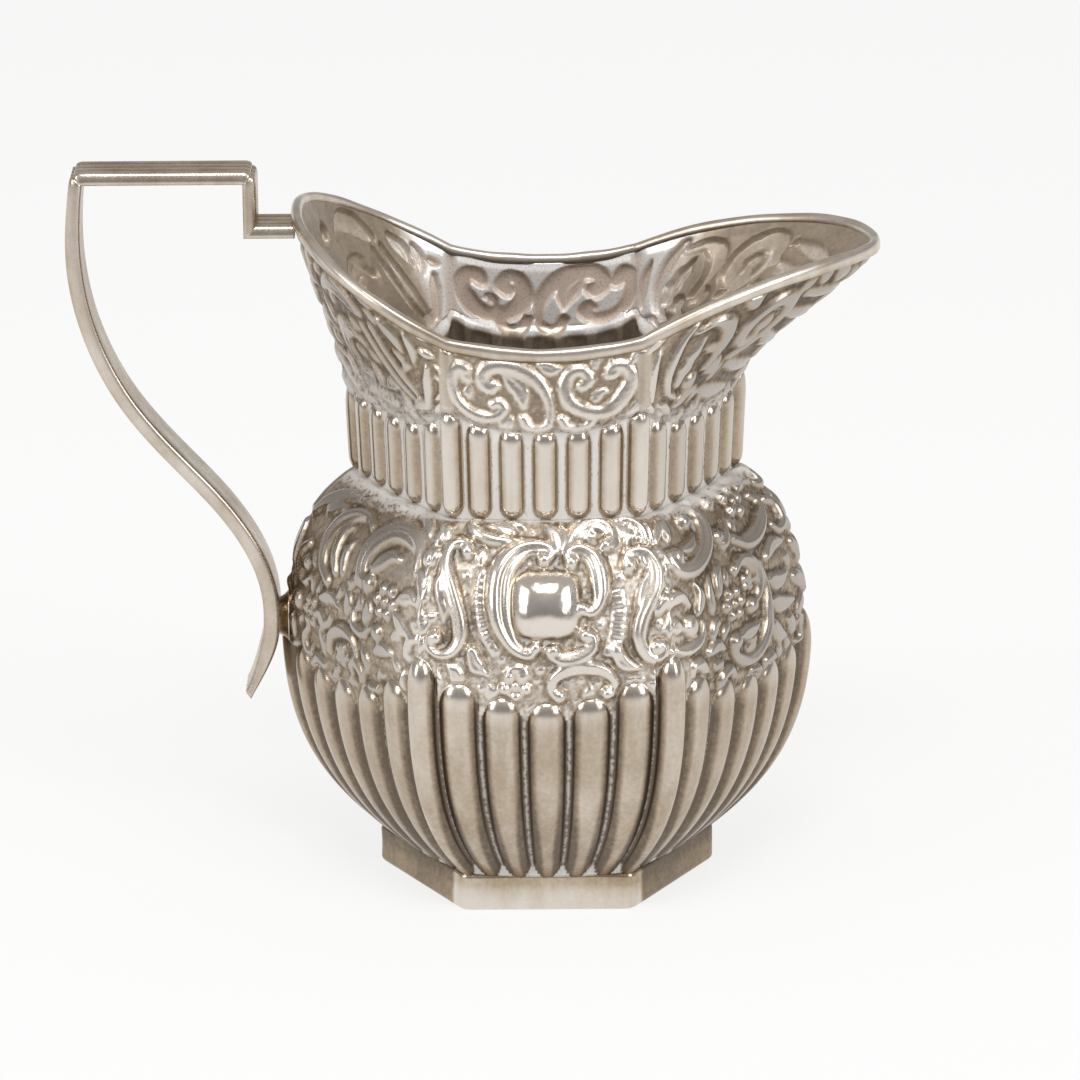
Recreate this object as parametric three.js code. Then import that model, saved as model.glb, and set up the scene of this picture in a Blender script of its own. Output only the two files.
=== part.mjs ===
// Silver creamer: a fluted six-sided body with a flaring spouted mouth, a plain
// six-sided foot and a handle built from lengths of reeded strip.
// Millimetres, +Z up, spout towards +X, handle towards -X.

import * as THREE from 'three';

// Section of the body
const SIDES = 6;
const FLUTES_PER_SIDE = 6;
const COLUMNS_PER_FLUTE = 4;
const INSIDE_COLUMN_STEP = 3;
const BODY_FACE_HALF_WIDTH_SHARE = 0.48;
const FOOT_FACE_HALF_WIDTH_SHARE = 0.5;
const FACE_DISTANCE_SHARE = 0.865;
const CORNER_SOFTNESS = 0.3;

// Sheet metal and solder joints
const SHEET = 0.8;
const SOLDER_GAP = 0.25;

// Foot and base plate
const FOOT_CORNER_RADIUS = 23.9;
const FOOT_HEIGHT = 5.6;
const FOOT_WALL = 1.6;
const FOOT_EDGE_BEVEL = 0.4;
const BASE_PLATE_THICKNESS = 1.0;
const BASE_PLATE_LIFT = 2.6;

// Belly of the bowl
const BELLY_CORNER_RADIUS = 37.6;
const BELLY_WIDEST_HEIGHT = 36.2;
const BELLY_FLARE_OUT = 10.2;
const BELLY_FLARE_UP = 8.5;
const BELLY_FULLNESS_BELOW = 14.0;
const BELLY_FULLNESS_ABOVE = 10.4;
const SHOULDER_RUN = 6.6;
const SHOULDER_RISE = 3.9;
const BELLY_FLUTE_DEPTH = 1.3;
const SHOULDER_GROUND = 0.4;
const SHOULDER_ROWS = 17;

// Neck and mouth
const NECK_CORNER_RADIUS = 27.6;
const NECK_CREASE_HEIGHT = 58.5;
const NECK_TAPER = 0.6;
const NECK_FLUTE_DEPTH = 1.0;
const NECK_FLUTE_TOP_HEIGHT = 71.6;
const FLARE_SINK = 0.4;
const MOUTH_HALF_WIDTH = 24.3;
const MOUTH_FLAT_HALF_LENGTH = 13.2;
const MOUTH_CORNER_HEIGHT = 83.6;
const MOUTH_DIP = 1.6;
const SPOUT_REACH = 46.0;
const SPOUT_HEIGHT = 90.9;
const SPOUT_CREST = 0.9;
const SPOUT_NOSE_HALF_WIDTH = 11.0;
const SPOUT_CHEEK_REACH = 30.5;
const SPOUT_CHEEK_HALF_WIDTH = 18.2;
const BACK_REACH = 34.2;
const BACK_HEIGHT = 96.0;
const BACK_CREST = 0.3;
const BACK_NOSE_HALF_WIDTH = 15.0;
const BACK_CHEEK_REACH = 26.0;
const BACK_CHEEK_DROP = 5.8;
const FLARE_HOLLOW = 0.33;
const FLARE_CURL = 0.5;
const FLUTE_END_SHARE = 0.1;
const CORNER_FLUTE_GAIN = 1.25;

// Heights of the flute tops at the corners and in the middle of the sides, from the spout
// round to the handle. The other half mirrors them.
const BELLY_CORNER_TOPS = [37.5, 41.0, 41.0, 41.0];
const BELLY_SIDE_TOPS = [33.4, 35.0, 33.0];
const BELLY_TOP_SHARPNESS = 2;
const NECK_CORNER_TOPS = [74.0, 74.4, 74.4, 71.6];
const NECK_SIDE_TOPS = [70.2, 71.2, 70.2];
const NECK_TOP_SHARPNESS = 3;
const END_TOP_SHARPNESS = 5;

// Main forms of the embossing: scrolls as lines, bosses as cushions.
// On the belly they lie across from the middle of a side and down from the crease.
// On the neck they lie across from the left corner of a side and down from the rim.
const BELLY_SCROLL_WIDTH = 3.6;
const BELLY_SCROLL_RELIEF = 1.4;
const BELLY_SIDE_SCROLLS = [
  [[0.5, 5.6], [-3.4, 5.0], [-6.6, 9.4], [-6.4, 14.4], [-3.0, 18.8], [-0.6, 18.2]],
  [[3.6, 5.6], [6.6, 6.4], [7.6, 10.4], [6.0, 14.2]],
  [[5.6, 16.8], [5.0, 19.0], [2.2, 19.6]],
  [[-10.6, 5.0], [-13.4, 6.4], [-12.4, 12.2], [-12.2, 17.2], [-15.4, 18.6]],
  [[11.2, 6.6], [14.6, 7.0], [14.0, 12.6], [13.0, 17.4], [16.0, 19.6]],
  [[1.2, 24.6], [2.0, 22.2], [5.4, 21.0], [8.6, 22.4], [8.6, 24.8]],
];
const BELLY_SPOUT_SCROLLS = [
  [[-12.6, 7.4], [-10.6, 9.6], [-6.0, 7.4], [-4.6, 3.6], [-7.0, 2.6]],
  [[0.8, 8.2], [5.0, 9.8], [10.0, 7.4], [9.4, 4.2]],
  [[-4.4, 21.8], [-1.4, 24.8], [3.4, 22.8], [5.0, 16.6], [2.6, 12.0], [-1.2, 12.0]],
  [[-18.6, 13.2], [-14.2, 13.0], [-12.2, 16.2], [-15.2, 19.4], [-18.6, 18.8]],
  [[7.6, 14.2], [11.8, 12.4], [15.4, 14.6], [13.4, 18.6]],
];
const BELLY_HANDLE_SCROLLS = [
  [[5.0, 13.0], [2.4, 10.0], [4.6, 5.8], [9.4, 4.6], [13.6, 8.4]],
  [[-5.4, 15.2], [-8.2, 11.2], [-5.4, 6.4], [-0.6, 5.2]],
  [[-14.8, 7.6], [-10.0, 3.8], [-3.4, 2.4]],
  [[-13.0, 12.0], [-14.8, 15.0], [-12.0, 17.6], [-9.4, 15.4]],
  [[-3.2, 24.4], [-0.4, 20.8], [3.8, 22.8]],
];
const CARTOUCHE = { across: 0.1, down: 12.4, halfWidth: 4.6, halfHeight: 5.1, relief: 1.9 };
const SPOUT_FLOWER = { across: -4.0, down: 16.4, halfWidth: 2.8, halfHeight: 2.8, relief: 1.2 };
const HANDLE_FLOWER = { across: 9.4, down: 14.2, halfWidth: 3.0, halfHeight: 3.0, relief: 1.2 };
const NECK_SCROLL_WIDTH = 2.8;
const NECK_SCROLL_RELIEF = 0.9;
const NECK_SIDE_SCROLLS = [
  [[6.3, 5.2], [5.2, 3.0], [9.4, 2.3], [13.2, 5.2], [14.0, 9.4]],
  [[18.8, 4.4], [16.8, 4.0], [17.6, 8.0], [21.6, 9.6], [25.4, 6.6], [23.4, 3.0]],
  [[2.7, 3.6], [1.6, 6.8], [4.8, 9.8], [8.0, 7.9]],
];
const NECK_SPOUT_SCROLLS = [
  [[6.8, 13.6], [10.4, 11.4], [9.2, 5.4], [4.4, 3.1]],
  [[13.2, 13.4], [15.0, 9.4], [14.6, 4.4]],
  [[16.4, 14.2], [20.6, 11.8], [26.0, 10.8]],
  [[19.0, 3.0], [22.0, 6.0], [28.0, 7.2]],
];
const NECK_HANDLE_SCROLLS = [
  [[22.8, 5.0], [26.2, 3.6], [27.4, 10.8], [24.6, 16.6]],
  [[20.4, 2.9], [15.4, 4.0], [10.6, 6.2]],
  [[20.2, 9.0], [15.6, 8.2], [12.2, 9.8]],
  [[21.0, 14.0], [17.4, 13.0], [13.6, 14.0]],
  [[9.4, 10.6], [6.2, 10.8], [6.6, 14.2]],
];
const NECK_SPOUT_SPAN = [38, 18];
const NECK_SIDE_SPAN = [27, 12];
const NECK_HANDLE_SPAN = [34, 20];
const EMBOSSING_MARGIN = 1.0;

// Wire applied to the mouth
const RIM_WIRE_DIAMETER = 1.1;
const RIM_WIRE_SIDES = 6;

// Handle strip
const STRIP_WIDTH = 7.5;
const STRIP_THICKNESS = 1.9;
const STRIP_REEDS = 4;
const REED_DEPTH = 0.35;
const STEPS_PER_REED = 3;
const HANDLE_REACH = 65.5;
const HANDLE_TOP_HEIGHT = 102.6;
const STUB_HEIGHT = 93.0;
const STUB_LENGTH = 4.6;
const STRAP_BOW = 4.8;
const STRAP_BOW_DROP = 36.3;
const STRAP_RETURN_RISE = 21.6;
const STRAP_RETURN_SWAY = 1.0;
const STRAP_TAIL_DROP = 11.2;
const STRAP_TAIL_KICK = 3.0;
const STRAP_STEPS = 20;
const STRAP_TAIL_STEPS = 5;

// Lug between the strap and the belly
const LUG_HEIGHT = 37.0;
const LUG_LENGTH = 0.6;
const LUG_SPAN = 8.6;
const LUG_WIDTH = 5.0;
const LUG_STEPS = 6;

// Silver as it shows in the light
const SILVER_COLOUR = 0xb9ada1;
const SILVER_SHADE_COLOUR = 0x9a8c7e;
const SILVER_ROUGHNESS = 0.3;

const COLUMNS = SIDES * FLUTES_PER_SIDE * COLUMNS_PER_FLUTE;
const SEARCH_HALVINGS = 40;

function silver(colour) {
  return new THREE.MeshStandardMaterial({ color: colour, roughness: SILVER_ROUGHNESS, metalness: 1.0 });
}

function makePart(name, geometry, colour = SILVER_COLOUR) {
  geometry.computeVertexNormals();
  const mesh = new THREE.Mesh(geometry, silver(colour));
  mesh.name = name;
  return mesh;
}

// Triangles between two rings. One ring may have a whole number of times the other's points.
function joinRings(near, far) {
  const steps = Math.max(near.length, far.length);
  const at = (ring, step) => ring[Math.floor((step * ring.length) / steps) % ring.length];
  const indices = [];
  for (let step = 0; step < steps; step += 1) {
    if (at(near, step) !== at(near, step + 1)) {
      indices.push(at(near, step), at(near, step + 1), at(far, step + 1));
    }
    if (at(far, step) !== at(far, step + 1)) {
      indices.push(at(near, step), at(far, step + 1), at(far, step));
    }
  }
  return indices;
}

// Joins rings of points into one closed band. Each ring closes on itself, and
// the last ring joins the first, so the band has an inside and an outside.
function bandGeometry(rings) {
  const positions = rings.flat().flatMap((point) => point.toArray());
  let count = 0;
  const numbered = rings.map((ring) => ring.map(() => {
    count += 1;
    return count - 1;
  }));
  const indices = numbered.flatMap((ring, index) => joinRings(ring, numbered[(index + 1) % numbered.length]));
  return indexedGeometry(positions, indices);
}

// Joins rings of points into a bar. Each end is closed by a fan round its hub, a point of
// the end that sees every point of the ring.
function barGeometry(rings, firstHub, lastHub) {
  const count = rings[0].length;
  const points = rings.flat();
  const indices = [];
  for (let ring = 0; ring + 1 < rings.length; ring += 1) {
    for (let column = 0; column < count; column += 1) {
      const a = ring * count + column;
      const b = ring * count + ((column + 1) % count);
      indices.push(a, b, b + count, a, b + count, a + count);
    }
  }
  const last = (rings.length - 1) * count;
  const first = points.length;
  const second = points.length + 1;
  for (let column = 0; column < count; column += 1) {
    const beside = (column + 1) % count;
    indices.push(first, beside, column, second, last + column, last + beside);
  }
  points.push(firstHub, lastHub);
  return indexedGeometry(points.flatMap((point) => point.toArray()), indices);
}

function indexedGeometry(positions, indices) {
  const geometry = new THREE.BufferGeometry();
  geometry.setAttribute('position', new THREE.Float32BufferAttribute(positions, 3));
  geometry.setIndex(indices);
  return geometry;
}

// Corners of the six-sided section for a corner radius of one, from the spout round.
function unitCorners(faceHalfWidth) {
  return [
    new THREE.Vector2(1, 0),
    new THREE.Vector2(faceHalfWidth, FACE_DISTANCE_SHARE),
    new THREE.Vector2(-faceHalfWidth, FACE_DISTANCE_SHARE),
    new THREE.Vector2(-1, 0),
    new THREE.Vector2(-faceHalfWidth, -FACE_DISTANCE_SHARE),
    new THREE.Vector2(faceHalfWidth, -FACE_DISTANCE_SHARE),
  ];
}

const BODY_CORNERS = unitCorners(BODY_FACE_HALF_WIDTH_SHARE);
const FOOT_CORNERS = unitCorners(FOOT_FACE_HALF_WIDTH_SHARE);

// A turn runs from 0 to SIDES round the section, a whole number at each corner.
function wrapTurn(turn) {
  return ((turn % SIDES) + SIDES) % SIDES;
}

function unitSection(turn, softness) {
  const wrapped = wrapTurn(turn);
  const side = Math.floor(wrapped);
  const along = wrapped - side;
  const start = BODY_CORNERS[side];
  const end = BODY_CORNERS[(side + 1) % SIDES];
  const flat = start.clone().lerp(end, along);
  const reach = THREE.MathUtils.lerp(start.length(), end.length(), along);
  const round = flat.clone().setLength(reach);
  return flat.lerp(round, softness);
}

function sectionNormal(turn, softness) {
  const step = 0.5 / (FLUTES_PER_SIDE * COLUMNS_PER_FLUTE);
  const tangent = unitSection(turn + step, softness).sub(unitSection(turn - step, softness)).normalize();
  return new THREE.Vector2(tangent.y, -tangent.x);
}

// A turn folded onto the half that runs from the spout, 0, to the handle, half of SIDES.
function foldTurn(turn) {
  const wrapped = wrapTurn(turn);
  return Math.min(wrapped, SIDES - wrapped);
}

// Number of the side under a folded turn: 0 beside the spout, then the flat side, then the handle.
function sideOf(folded) {
  return Math.min(Math.floor(folded), SIDES / 2 - 1);
}

// Flute tops rise in a shallow scallop from the middle of a side to its corners.
function fluteTop(turn, cornerTops, sideTops, sharpness) {
  const folded = foldTurn(turn);
  const side = sideOf(folded);
  const corner = Math.round(folded);
  const nearCorner = Math.abs(2 * (folded - side) - 1);
  const atEnd = corner % (SIDES / 2) === 0;
  const rise = nearCorner ** (atEnd ? END_TOP_SHARPNESS : sharpness);
  return THREE.MathUtils.lerp(sideTops[side], cornerTops[corner], rise);
}

function bellyFluteTop(turn) {
  return fluteTop(turn, BELLY_CORNER_TOPS, BELLY_SIDE_TOPS, BELLY_TOP_SHARPNESS);
}

function neckFluteTop(turn) {
  return fluteTop(turn, NECK_CORNER_TOPS, NECK_SIDE_TOPS, NECK_TOP_SHARPNESS);
}

// Corner flutes are fuller than the rest, apart from the one that the handle covers.
function fluteRidge(turn, depth) {
  const count = wrapTurn(turn) * FLUTES_PER_SIDE;
  const flute = Math.round(count);
  const ridge = Math.cos(Math.PI * (count - flute));
  const atCorner = flute % FLUTES_PER_SIDE === 0;
  const atHandle = flute === (SIDES / 2) * FLUTES_PER_SIDE;
  return depth * ridge * (atCorner && !atHandle ? CORNER_FLUTE_GAIN : 1);
}

// Flutes end in a round top over the last share of their length.
function fluteEnd(share) {
  const left = Math.min((1 - share) / FLUTE_END_SHARE, 1);
  return Math.sqrt(left * (2 - left));
}

function smoothStep(share) {
  return share * share * (3 - 2 * share);
}

// Scrolls as smooth lines through their points.
const SCROLL_STEPS = 12;

function scrollLines(scrolls) {
  return scrolls.map((points) => (
    new THREE.SplineCurve(points.map(([across, down]) => new THREE.Vector2(across, down))).getPoints(SCROLL_STEPS)
  ));
}

function distanceToLine(line, spot) {
  const distances = line.slice(1).map((end, index) => {
    const start = line[index];
    const step = end.clone().sub(start);
    const share = THREE.MathUtils.clamp(spot.clone().sub(start).dot(step) / step.lengthSq(), 0, 1);
    return start.clone().addScaledVector(step, share).distanceTo(spot);
  });
  return Math.min(...distances);
}

// Height of the scrolls at a spot: each is a round ridge along its line.
function scrollHeight(lines, spot, width, relief) {
  const nearest = Math.min(...lines.map((line) => distanceToLine(line, spot)));
  const reach = Math.min(nearest / (width / 2), 1);
  return relief * Math.sqrt(1 - reach ** 2);
}

// Height of a cushion with rounded corners.
function bossHeight(boss, spot) {
  const across = Math.abs(spot.x - boss.across) / boss.halfWidth;
  const down = Math.abs(spot.y - boss.down) / boss.halfHeight;
  const reach = (across ** 4 + down ** 4) ** 0.25;
  return boss.relief * Math.sqrt(Math.max(1 - reach ** 2, 0));
}

// Turns of the columns of points, or of every few of them.
function columnTurns(step = 1) {
  return Array.from({ length: COLUMNS / step }, (_, column) => (
    (column * step) / (FLUTES_PER_SIDE * COLUMNS_PER_FLUTE)
  ));
}

function pointOnSection(turn, cornerRadius, raise, height) {
  const flat = unitSection(turn, CORNER_SOFTNESS).multiplyScalar(cornerRadius);
  flat.addScaledVector(sectionNormal(turn, CORNER_SOFTNESS), raise);
  return new THREE.Vector3(flat.x, flat.y, height);
}

// Corner radius of the belly over its height, as two curves that meet where it is widest.
const bellyBottom = FOOT_HEIGHT + SOLDER_GAP;
const bellyBelow = new THREE.CubicBezierCurve(
  new THREE.Vector2(FOOT_CORNER_RADIUS, bellyBottom),
  new THREE.Vector2(FOOT_CORNER_RADIUS + BELLY_FLARE_OUT, bellyBottom + BELLY_FLARE_UP),
  new THREE.Vector2(BELLY_CORNER_RADIUS, BELLY_WIDEST_HEIGHT - BELLY_FULLNESS_BELOW),
  new THREE.Vector2(BELLY_CORNER_RADIUS, BELLY_WIDEST_HEIGHT),
);
const bellyAbove = new THREE.CubicBezierCurve(
  new THREE.Vector2(BELLY_CORNER_RADIUS, BELLY_WIDEST_HEIGHT),
  new THREE.Vector2(BELLY_CORNER_RADIUS, BELLY_WIDEST_HEIGHT + BELLY_FULLNESS_ABOVE),
  new THREE.Vector2(NECK_CORNER_RADIUS + SHOULDER_RUN, NECK_CREASE_HEIGHT - SHOULDER_RISE),
  new THREE.Vector2(NECK_CORNER_RADIUS, NECK_CREASE_HEIGHT),
);

// Finds the corner radius of the belly at a height by halving the curve's parameter.
function bellyRadius(height) {
  const curve = height < BELLY_WIDEST_HEIGHT ? bellyBelow : bellyAbove;
  let low = 0;
  let high = 1;
  for (let step = 0; step < SEARCH_HALVINGS; step += 1) {
    const middle = (low + high) / 2;
    if (curve.getPoint(middle).y < height) {
      low = middle;
    } else {
      high = middle;
    }
  }
  return curve.getPoint(high).x;
}

// Distance down the middle of a side, from the crease to a height on the shoulder.
const PROFILE_STEPS = 400;
const sideProfile = [...bellyBelow.getPoints(PROFILE_STEPS), ...bellyAbove.getPoints(PROFILE_STEPS)]
  .map((point) => point.setX(point.x * FACE_DISTANCE_SHARE));

function downFromCrease(height) {
  let run = 0;
  for (let index = sideProfile.length - 1; sideProfile[index].y > height; index -= 1) {
    run += sideProfile[index].distanceTo(sideProfile[index - 1]);
  }
  return run;
}

const BELLY_SCROLLS = [BELLY_SPOUT_SCROLLS, BELLY_SIDE_SCROLLS, BELLY_HANDLE_SCROLLS].map(scrollLines);
const BELLY_BOSSES = [SPOUT_FLOWER, CARTOUCHE, HANDLE_FLOWER];

// Embossing of the shoulder, drawn from left to right as the half towards -Y shows it.
function bellyEmbossing(turn, height) {
  const folded = foldTurn(turn);
  const side = sideOf(folded);
  const width = BODY_CORNERS[side].distanceTo(BODY_CORNERS[side + 1]) * bellyRadius(height);
  const down = downFromCrease(height);
  const spot = new THREE.Vector2((0.5 - (folded - side)) * width, down);
  const scrolls = scrollHeight(BELLY_SCROLLS[side], spot, BELLY_SCROLL_WIDTH, BELLY_SCROLL_RELIEF);
  const raise = Math.max(scrolls, bossHeight(BELLY_BOSSES[side], spot));
  return raise * smoothStep(Math.min(down / EMBOSSING_MARGIN, 1));
}

function makeBowl() {
  const fluteRows = [0, 0.12, 0.3, 0.5, 0.7, 0.86, 0.95, 1];
  const bandRows = Array.from({ length: SHOULDER_ROWS }, (_, row) => (row + 1) / SHOULDER_ROWS);
  const insideRows = [1, 0.78, 0.5, 0.22, 0];
  const top = NECK_CREASE_HEIGHT;
  const turns = columnTurns();
  const fluted = fluteRows.map((share) => turns.map((turn) => {
    const height = THREE.MathUtils.lerp(bellyBottom, bellyFluteTop(turn), share);
    const radius = bellyRadius(height);
    const crowding = radius / BELLY_CORNER_RADIUS;
    const ridge = fluteRidge(turn, BELLY_FLUTE_DEPTH) * crowding * fluteEnd(share);
    return pointOnSection(turn, radius, ridge - BELLY_FLUTE_DEPTH, height);
  }));
  const banded = bandRows.map((share) => turns.map((turn) => {
    const height = THREE.MathUtils.lerp(bellyFluteTop(turn), top, share);
    const ground = SHOULDER_GROUND * Math.sin(Math.PI * share) ** 0.5;
    const raise = ground + bellyEmbossing(turn, height) - BELLY_FLUTE_DEPTH;
    return pointOnSection(turn, bellyRadius(height), raise, height);
  }));
  const inside = insideRows.map((share) => columnTurns(INSIDE_COLUMN_STEP).map((turn) => {
    const height = THREE.MathUtils.lerp(bellyBottom, top, share);
    return pointOnSection(turn, bellyRadius(height), -BELLY_FLUTE_DEPTH - SHEET, height);
  }));
  return makePart('bowl', bandGeometry([...fluted, ...banded, ...inside]));
}

// Edge of the mouth seen from above: a shallow dip on each side, a long spout in front
// and a round end at the handle. Each quarter is one curve with its own rise.
const spoutEdge = new THREE.CubicBezierCurve3(
  new THREE.Vector3(SPOUT_REACH, 0, SPOUT_HEIGHT),
  new THREE.Vector3(SPOUT_REACH, SPOUT_NOSE_HALF_WIDTH, SPOUT_HEIGHT + SPOUT_CREST),
  new THREE.Vector3(SPOUT_CHEEK_REACH, SPOUT_CHEEK_HALF_WIDTH, SPOUT_HEIGHT + SPOUT_CREST),
  new THREE.Vector3(MOUTH_FLAT_HALF_LENGTH, MOUTH_HALF_WIDTH, MOUTH_CORNER_HEIGHT),
);
const sideEdge = new THREE.QuadraticBezierCurve3(
  new THREE.Vector3(MOUTH_FLAT_HALF_LENGTH, MOUTH_HALF_WIDTH, MOUTH_CORNER_HEIGHT),
  new THREE.Vector3(0, MOUTH_HALF_WIDTH, MOUTH_CORNER_HEIGHT - 2 * MOUTH_DIP),
  new THREE.Vector3(-MOUTH_FLAT_HALF_LENGTH, MOUTH_HALF_WIDTH, MOUTH_CORNER_HEIGHT),
);
const backEdge = new THREE.CubicBezierCurve3(
  new THREE.Vector3(-MOUTH_FLAT_HALF_LENGTH, MOUTH_HALF_WIDTH, MOUTH_CORNER_HEIGHT),
  new THREE.Vector3(-BACK_CHEEK_REACH, MOUTH_HALF_WIDTH, BACK_HEIGHT - BACK_CHEEK_DROP),
  new THREE.Vector3(-BACK_REACH, BACK_NOSE_HALF_WIDTH, BACK_HEIGHT + BACK_CREST),
  new THREE.Vector3(-BACK_REACH, 0, BACK_HEIGHT),
);
const MOUTH_EDGES = [spoutEdge, sideEdge, backEdge];

function mouthEdge(turn) {
  const wrapped = wrapTurn(turn);
  const mirrored = wrapped > SIDES / 2;
  const half = mirrored ? SIDES - wrapped : wrapped;
  const quarter = Math.min(Math.floor(half), MOUTH_EDGES.length - 1);
  const point = MOUTH_EDGES[quarter].getPoint(half - quarter);
  return mirrored ? point.setY(-point.y) : point;
}

function mouthNormal(turn) {
  const step = 0.02;
  const tangent = mouthEdge(turn + step).sub(mouthEdge(turn - step)).setZ(0).normalize();
  return new THREE.Vector3(tangent.y, -tangent.x, 0);
}

const rimWireRadius = RIM_WIRE_DIAMETER / 2;
const neckEdgeDrop = rimWireRadius + SOLDER_GAP;
const neckBottom = NECK_CREASE_HEIGHT + SOLDER_GAP;

function neckRadius(height) {
  const rise = NECK_FLUTE_TOP_HEIGHT - neckBottom;
  return NECK_CORNER_RADIUS + NECK_TAPER * (height - neckBottom) / rise;
}

// The flare is hollow under the spout and straight at the handle.
function flareEase(turn, share) {
  const towardsSpout = (1 + Math.cos((2 * Math.PI * turn) / SIDES)) / 2;
  const eased = THREE.MathUtils.lerp(share, smoothStep(share), FLARE_CURL);
  return eased ** (1 + FLARE_HOLLOW * towardsSpout);
}

// A point of the flare between the flute tops and the mouth, set in from the outside by inset.
function flarePoint(turn, share, inset) {
  const low = neckFluteTop(turn);
  const start = pointOnSection(turn, neckRadius(low), -inset, low);
  const end = mouthEdge(turn).addScaledVector(mouthNormal(turn), Math.min(rimWireRadius - inset, 0));
  end.z -= neckEdgeDrop;
  const point = start.clone().lerp(end, flareEase(turn, share));
  return point.setZ(THREE.MathUtils.lerp(start.z, end.z, share));
}

const NECK_SCROLLS = [NECK_SPOUT_SCROLLS, NECK_SIDE_SCROLLS, NECK_HANDLE_SCROLLS].map(scrollLines);
const NECK_SPANS = [NECK_SPOUT_SPAN, NECK_SIDE_SPAN, NECK_HANDLE_SPAN];

// Embossing of the flare; share is 0 at the flutes and 1 at the rim.
function neckEmbossing(turn, share) {
  const folded = foldTurn(turn);
  const side = sideOf(folded);
  const [width, depth] = NECK_SPANS[side];
  const down = (1 - share) * depth;
  const spot = new THREE.Vector2((1 - (folded - side)) * width, down);
  const height = scrollHeight(NECK_SCROLLS[side], spot, NECK_SCROLL_WIDTH, NECK_SCROLL_RELIEF);
  return height * smoothStep(Math.min(down / EMBOSSING_MARGIN, 1));
}

function makeNeck() {
  const fluteRows = [0, 0.08, 0.4, 0.75, 0.94, 1];
  const flareRows = [0.1, 0.22, 0.34, 0.46, 0.58, 0.7, 0.82, 0.92, 1];
  const insideFlareRows = [1, 0.66, 0.33, 0];
  const turns = columnTurns();
  const fluted = fluteRows.map((share) => turns.map((turn) => {
    const height = THREE.MathUtils.lerp(neckBottom, neckFluteTop(turn), share);
    const ridge = fluteRidge(turn, NECK_FLUTE_DEPTH) * fluteEnd(share);
    return pointOnSection(turn, neckRadius(height), ridge - NECK_FLUTE_DEPTH, height);
  }));
  const flared = flareRows.map((share) => turns.map((turn) => {
    const sunk = THREE.MathUtils.lerp(FLARE_SINK, rimWireRadius, share ** 4);
    return flarePoint(turn, share, sunk - neckEmbossing(turn, share));
  }));
  const depthInside = NECK_FLUTE_DEPTH + SHEET;
  const insideTurns = columnTurns(INSIDE_COLUMN_STEP);
  const insideFlare = insideFlareRows.map((share) => insideTurns.map((turn) => (
    flarePoint(turn, share, THREE.MathUtils.lerp(depthInside, rimWireRadius + SHEET, share ** 4))
  )));
  const insideFoot = insideTurns.map((turn) => (
    pointOnSection(turn, neckRadius(neckBottom), -depthInside, neckBottom)
  ));
  return makePart('neck', bandGeometry([...fluted, ...flared, ...insideFlare, insideFoot]));
}

function makeRimWire() {
  const turns = columnTurns(2);
  const ring = Array.from({ length: RIM_WIRE_SIDES }, (_, side) => (2 * Math.PI * side) / RIM_WIRE_SIDES);
  const rings = ring.map((angle) => turns.map((turn) => {
    const point = mouthEdge(turn).addScaledVector(mouthNormal(turn), rimWireRadius * Math.cos(angle));
    point.z += rimWireRadius * Math.sin(angle);
    return point;
  }));
  return makePart('rim_wire', bandGeometry(rings));
}

function hexagonRing(cornerRadius, height) {
  return FOOT_CORNERS.map((corner) => (
    new THREE.Vector3(corner.x * cornerRadius, corner.y * cornerRadius, height)
  ));
}

function makeFootCollar() {
  const outer = FOOT_CORNER_RADIUS;
  const inner = FOOT_CORNER_RADIUS - FOOT_WALL;
  return makePart('foot_collar', bandGeometry([
    hexagonRing(outer - FOOT_EDGE_BEVEL, 0),
    hexagonRing(outer, FOOT_EDGE_BEVEL),
    hexagonRing(outer, FOOT_HEIGHT - FOOT_EDGE_BEVEL),
    hexagonRing(outer - FOOT_EDGE_BEVEL, FOOT_HEIGHT),
    hexagonRing(inner, FOOT_HEIGHT),
    hexagonRing(inner, 0),
  ]), SILVER_SHADE_COLOUR);
}

function makeBasePlate() {
  const radius = FOOT_CORNER_RADIUS - FOOT_WALL - SOLDER_GAP;
  const low = BASE_PLATE_LIFT;
  const high = BASE_PLATE_LIFT + BASE_PLATE_THICKNESS;
  const rings = [hexagonRing(radius, low), hexagonRing(radius, high)];
  const geometry = barGeometry(rings, new THREE.Vector3(0, 0, low), new THREE.Vector3(0, 0, high));
  return makePart('base_plate', geometry, SILVER_SHADE_COLOUR);
}

// Outline of the handle strip: flat inside, a row of round reeds outside.
// The first coordinate runs across the strip and the second out from its inner face.
function stripOutline() {
  const points = [];
  const reedWidth = STRIP_WIDTH / STRIP_REEDS;
  points.push(new THREE.Vector2(STRIP_WIDTH / 2, 0));
  points.push(new THREE.Vector2(-STRIP_WIDTH / 2, 0));
  for (let reed = 0; reed < STRIP_REEDS; reed += 1) {
    for (let step = 0; step < STEPS_PER_REED; step += 1) {
      const share = step / STEPS_PER_REED;
      const across = -STRIP_WIDTH / 2 + (reed + share) * reedWidth;
      const out = STRIP_THICKNESS - REED_DEPTH + REED_DEPTH * Math.sin(Math.PI * share);
      points.push(new THREE.Vector2(across, out));
    }
  }
  points.push(new THREE.Vector2(STRIP_WIDTH / 2, STRIP_THICKNESS - REED_DEPTH));
  return points;
}

// The hub of the outline lies deep enough to see over the reeds.
const STRIP_HUB = new THREE.Vector2(0, STRIP_THICKNESS / 4);

function outward(direction) {
  return new THREE.Vector3(direction.z, 0, -direction.x);
}

// How far a mitred end runs on along its strip for each step out from the inner face.
function mitreBetween(before, after) {
  const bisector = before.clone().add(after);
  return outward(after).sub(outward(before)).dot(bisector) / bisector.lengthSq();
}

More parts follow.
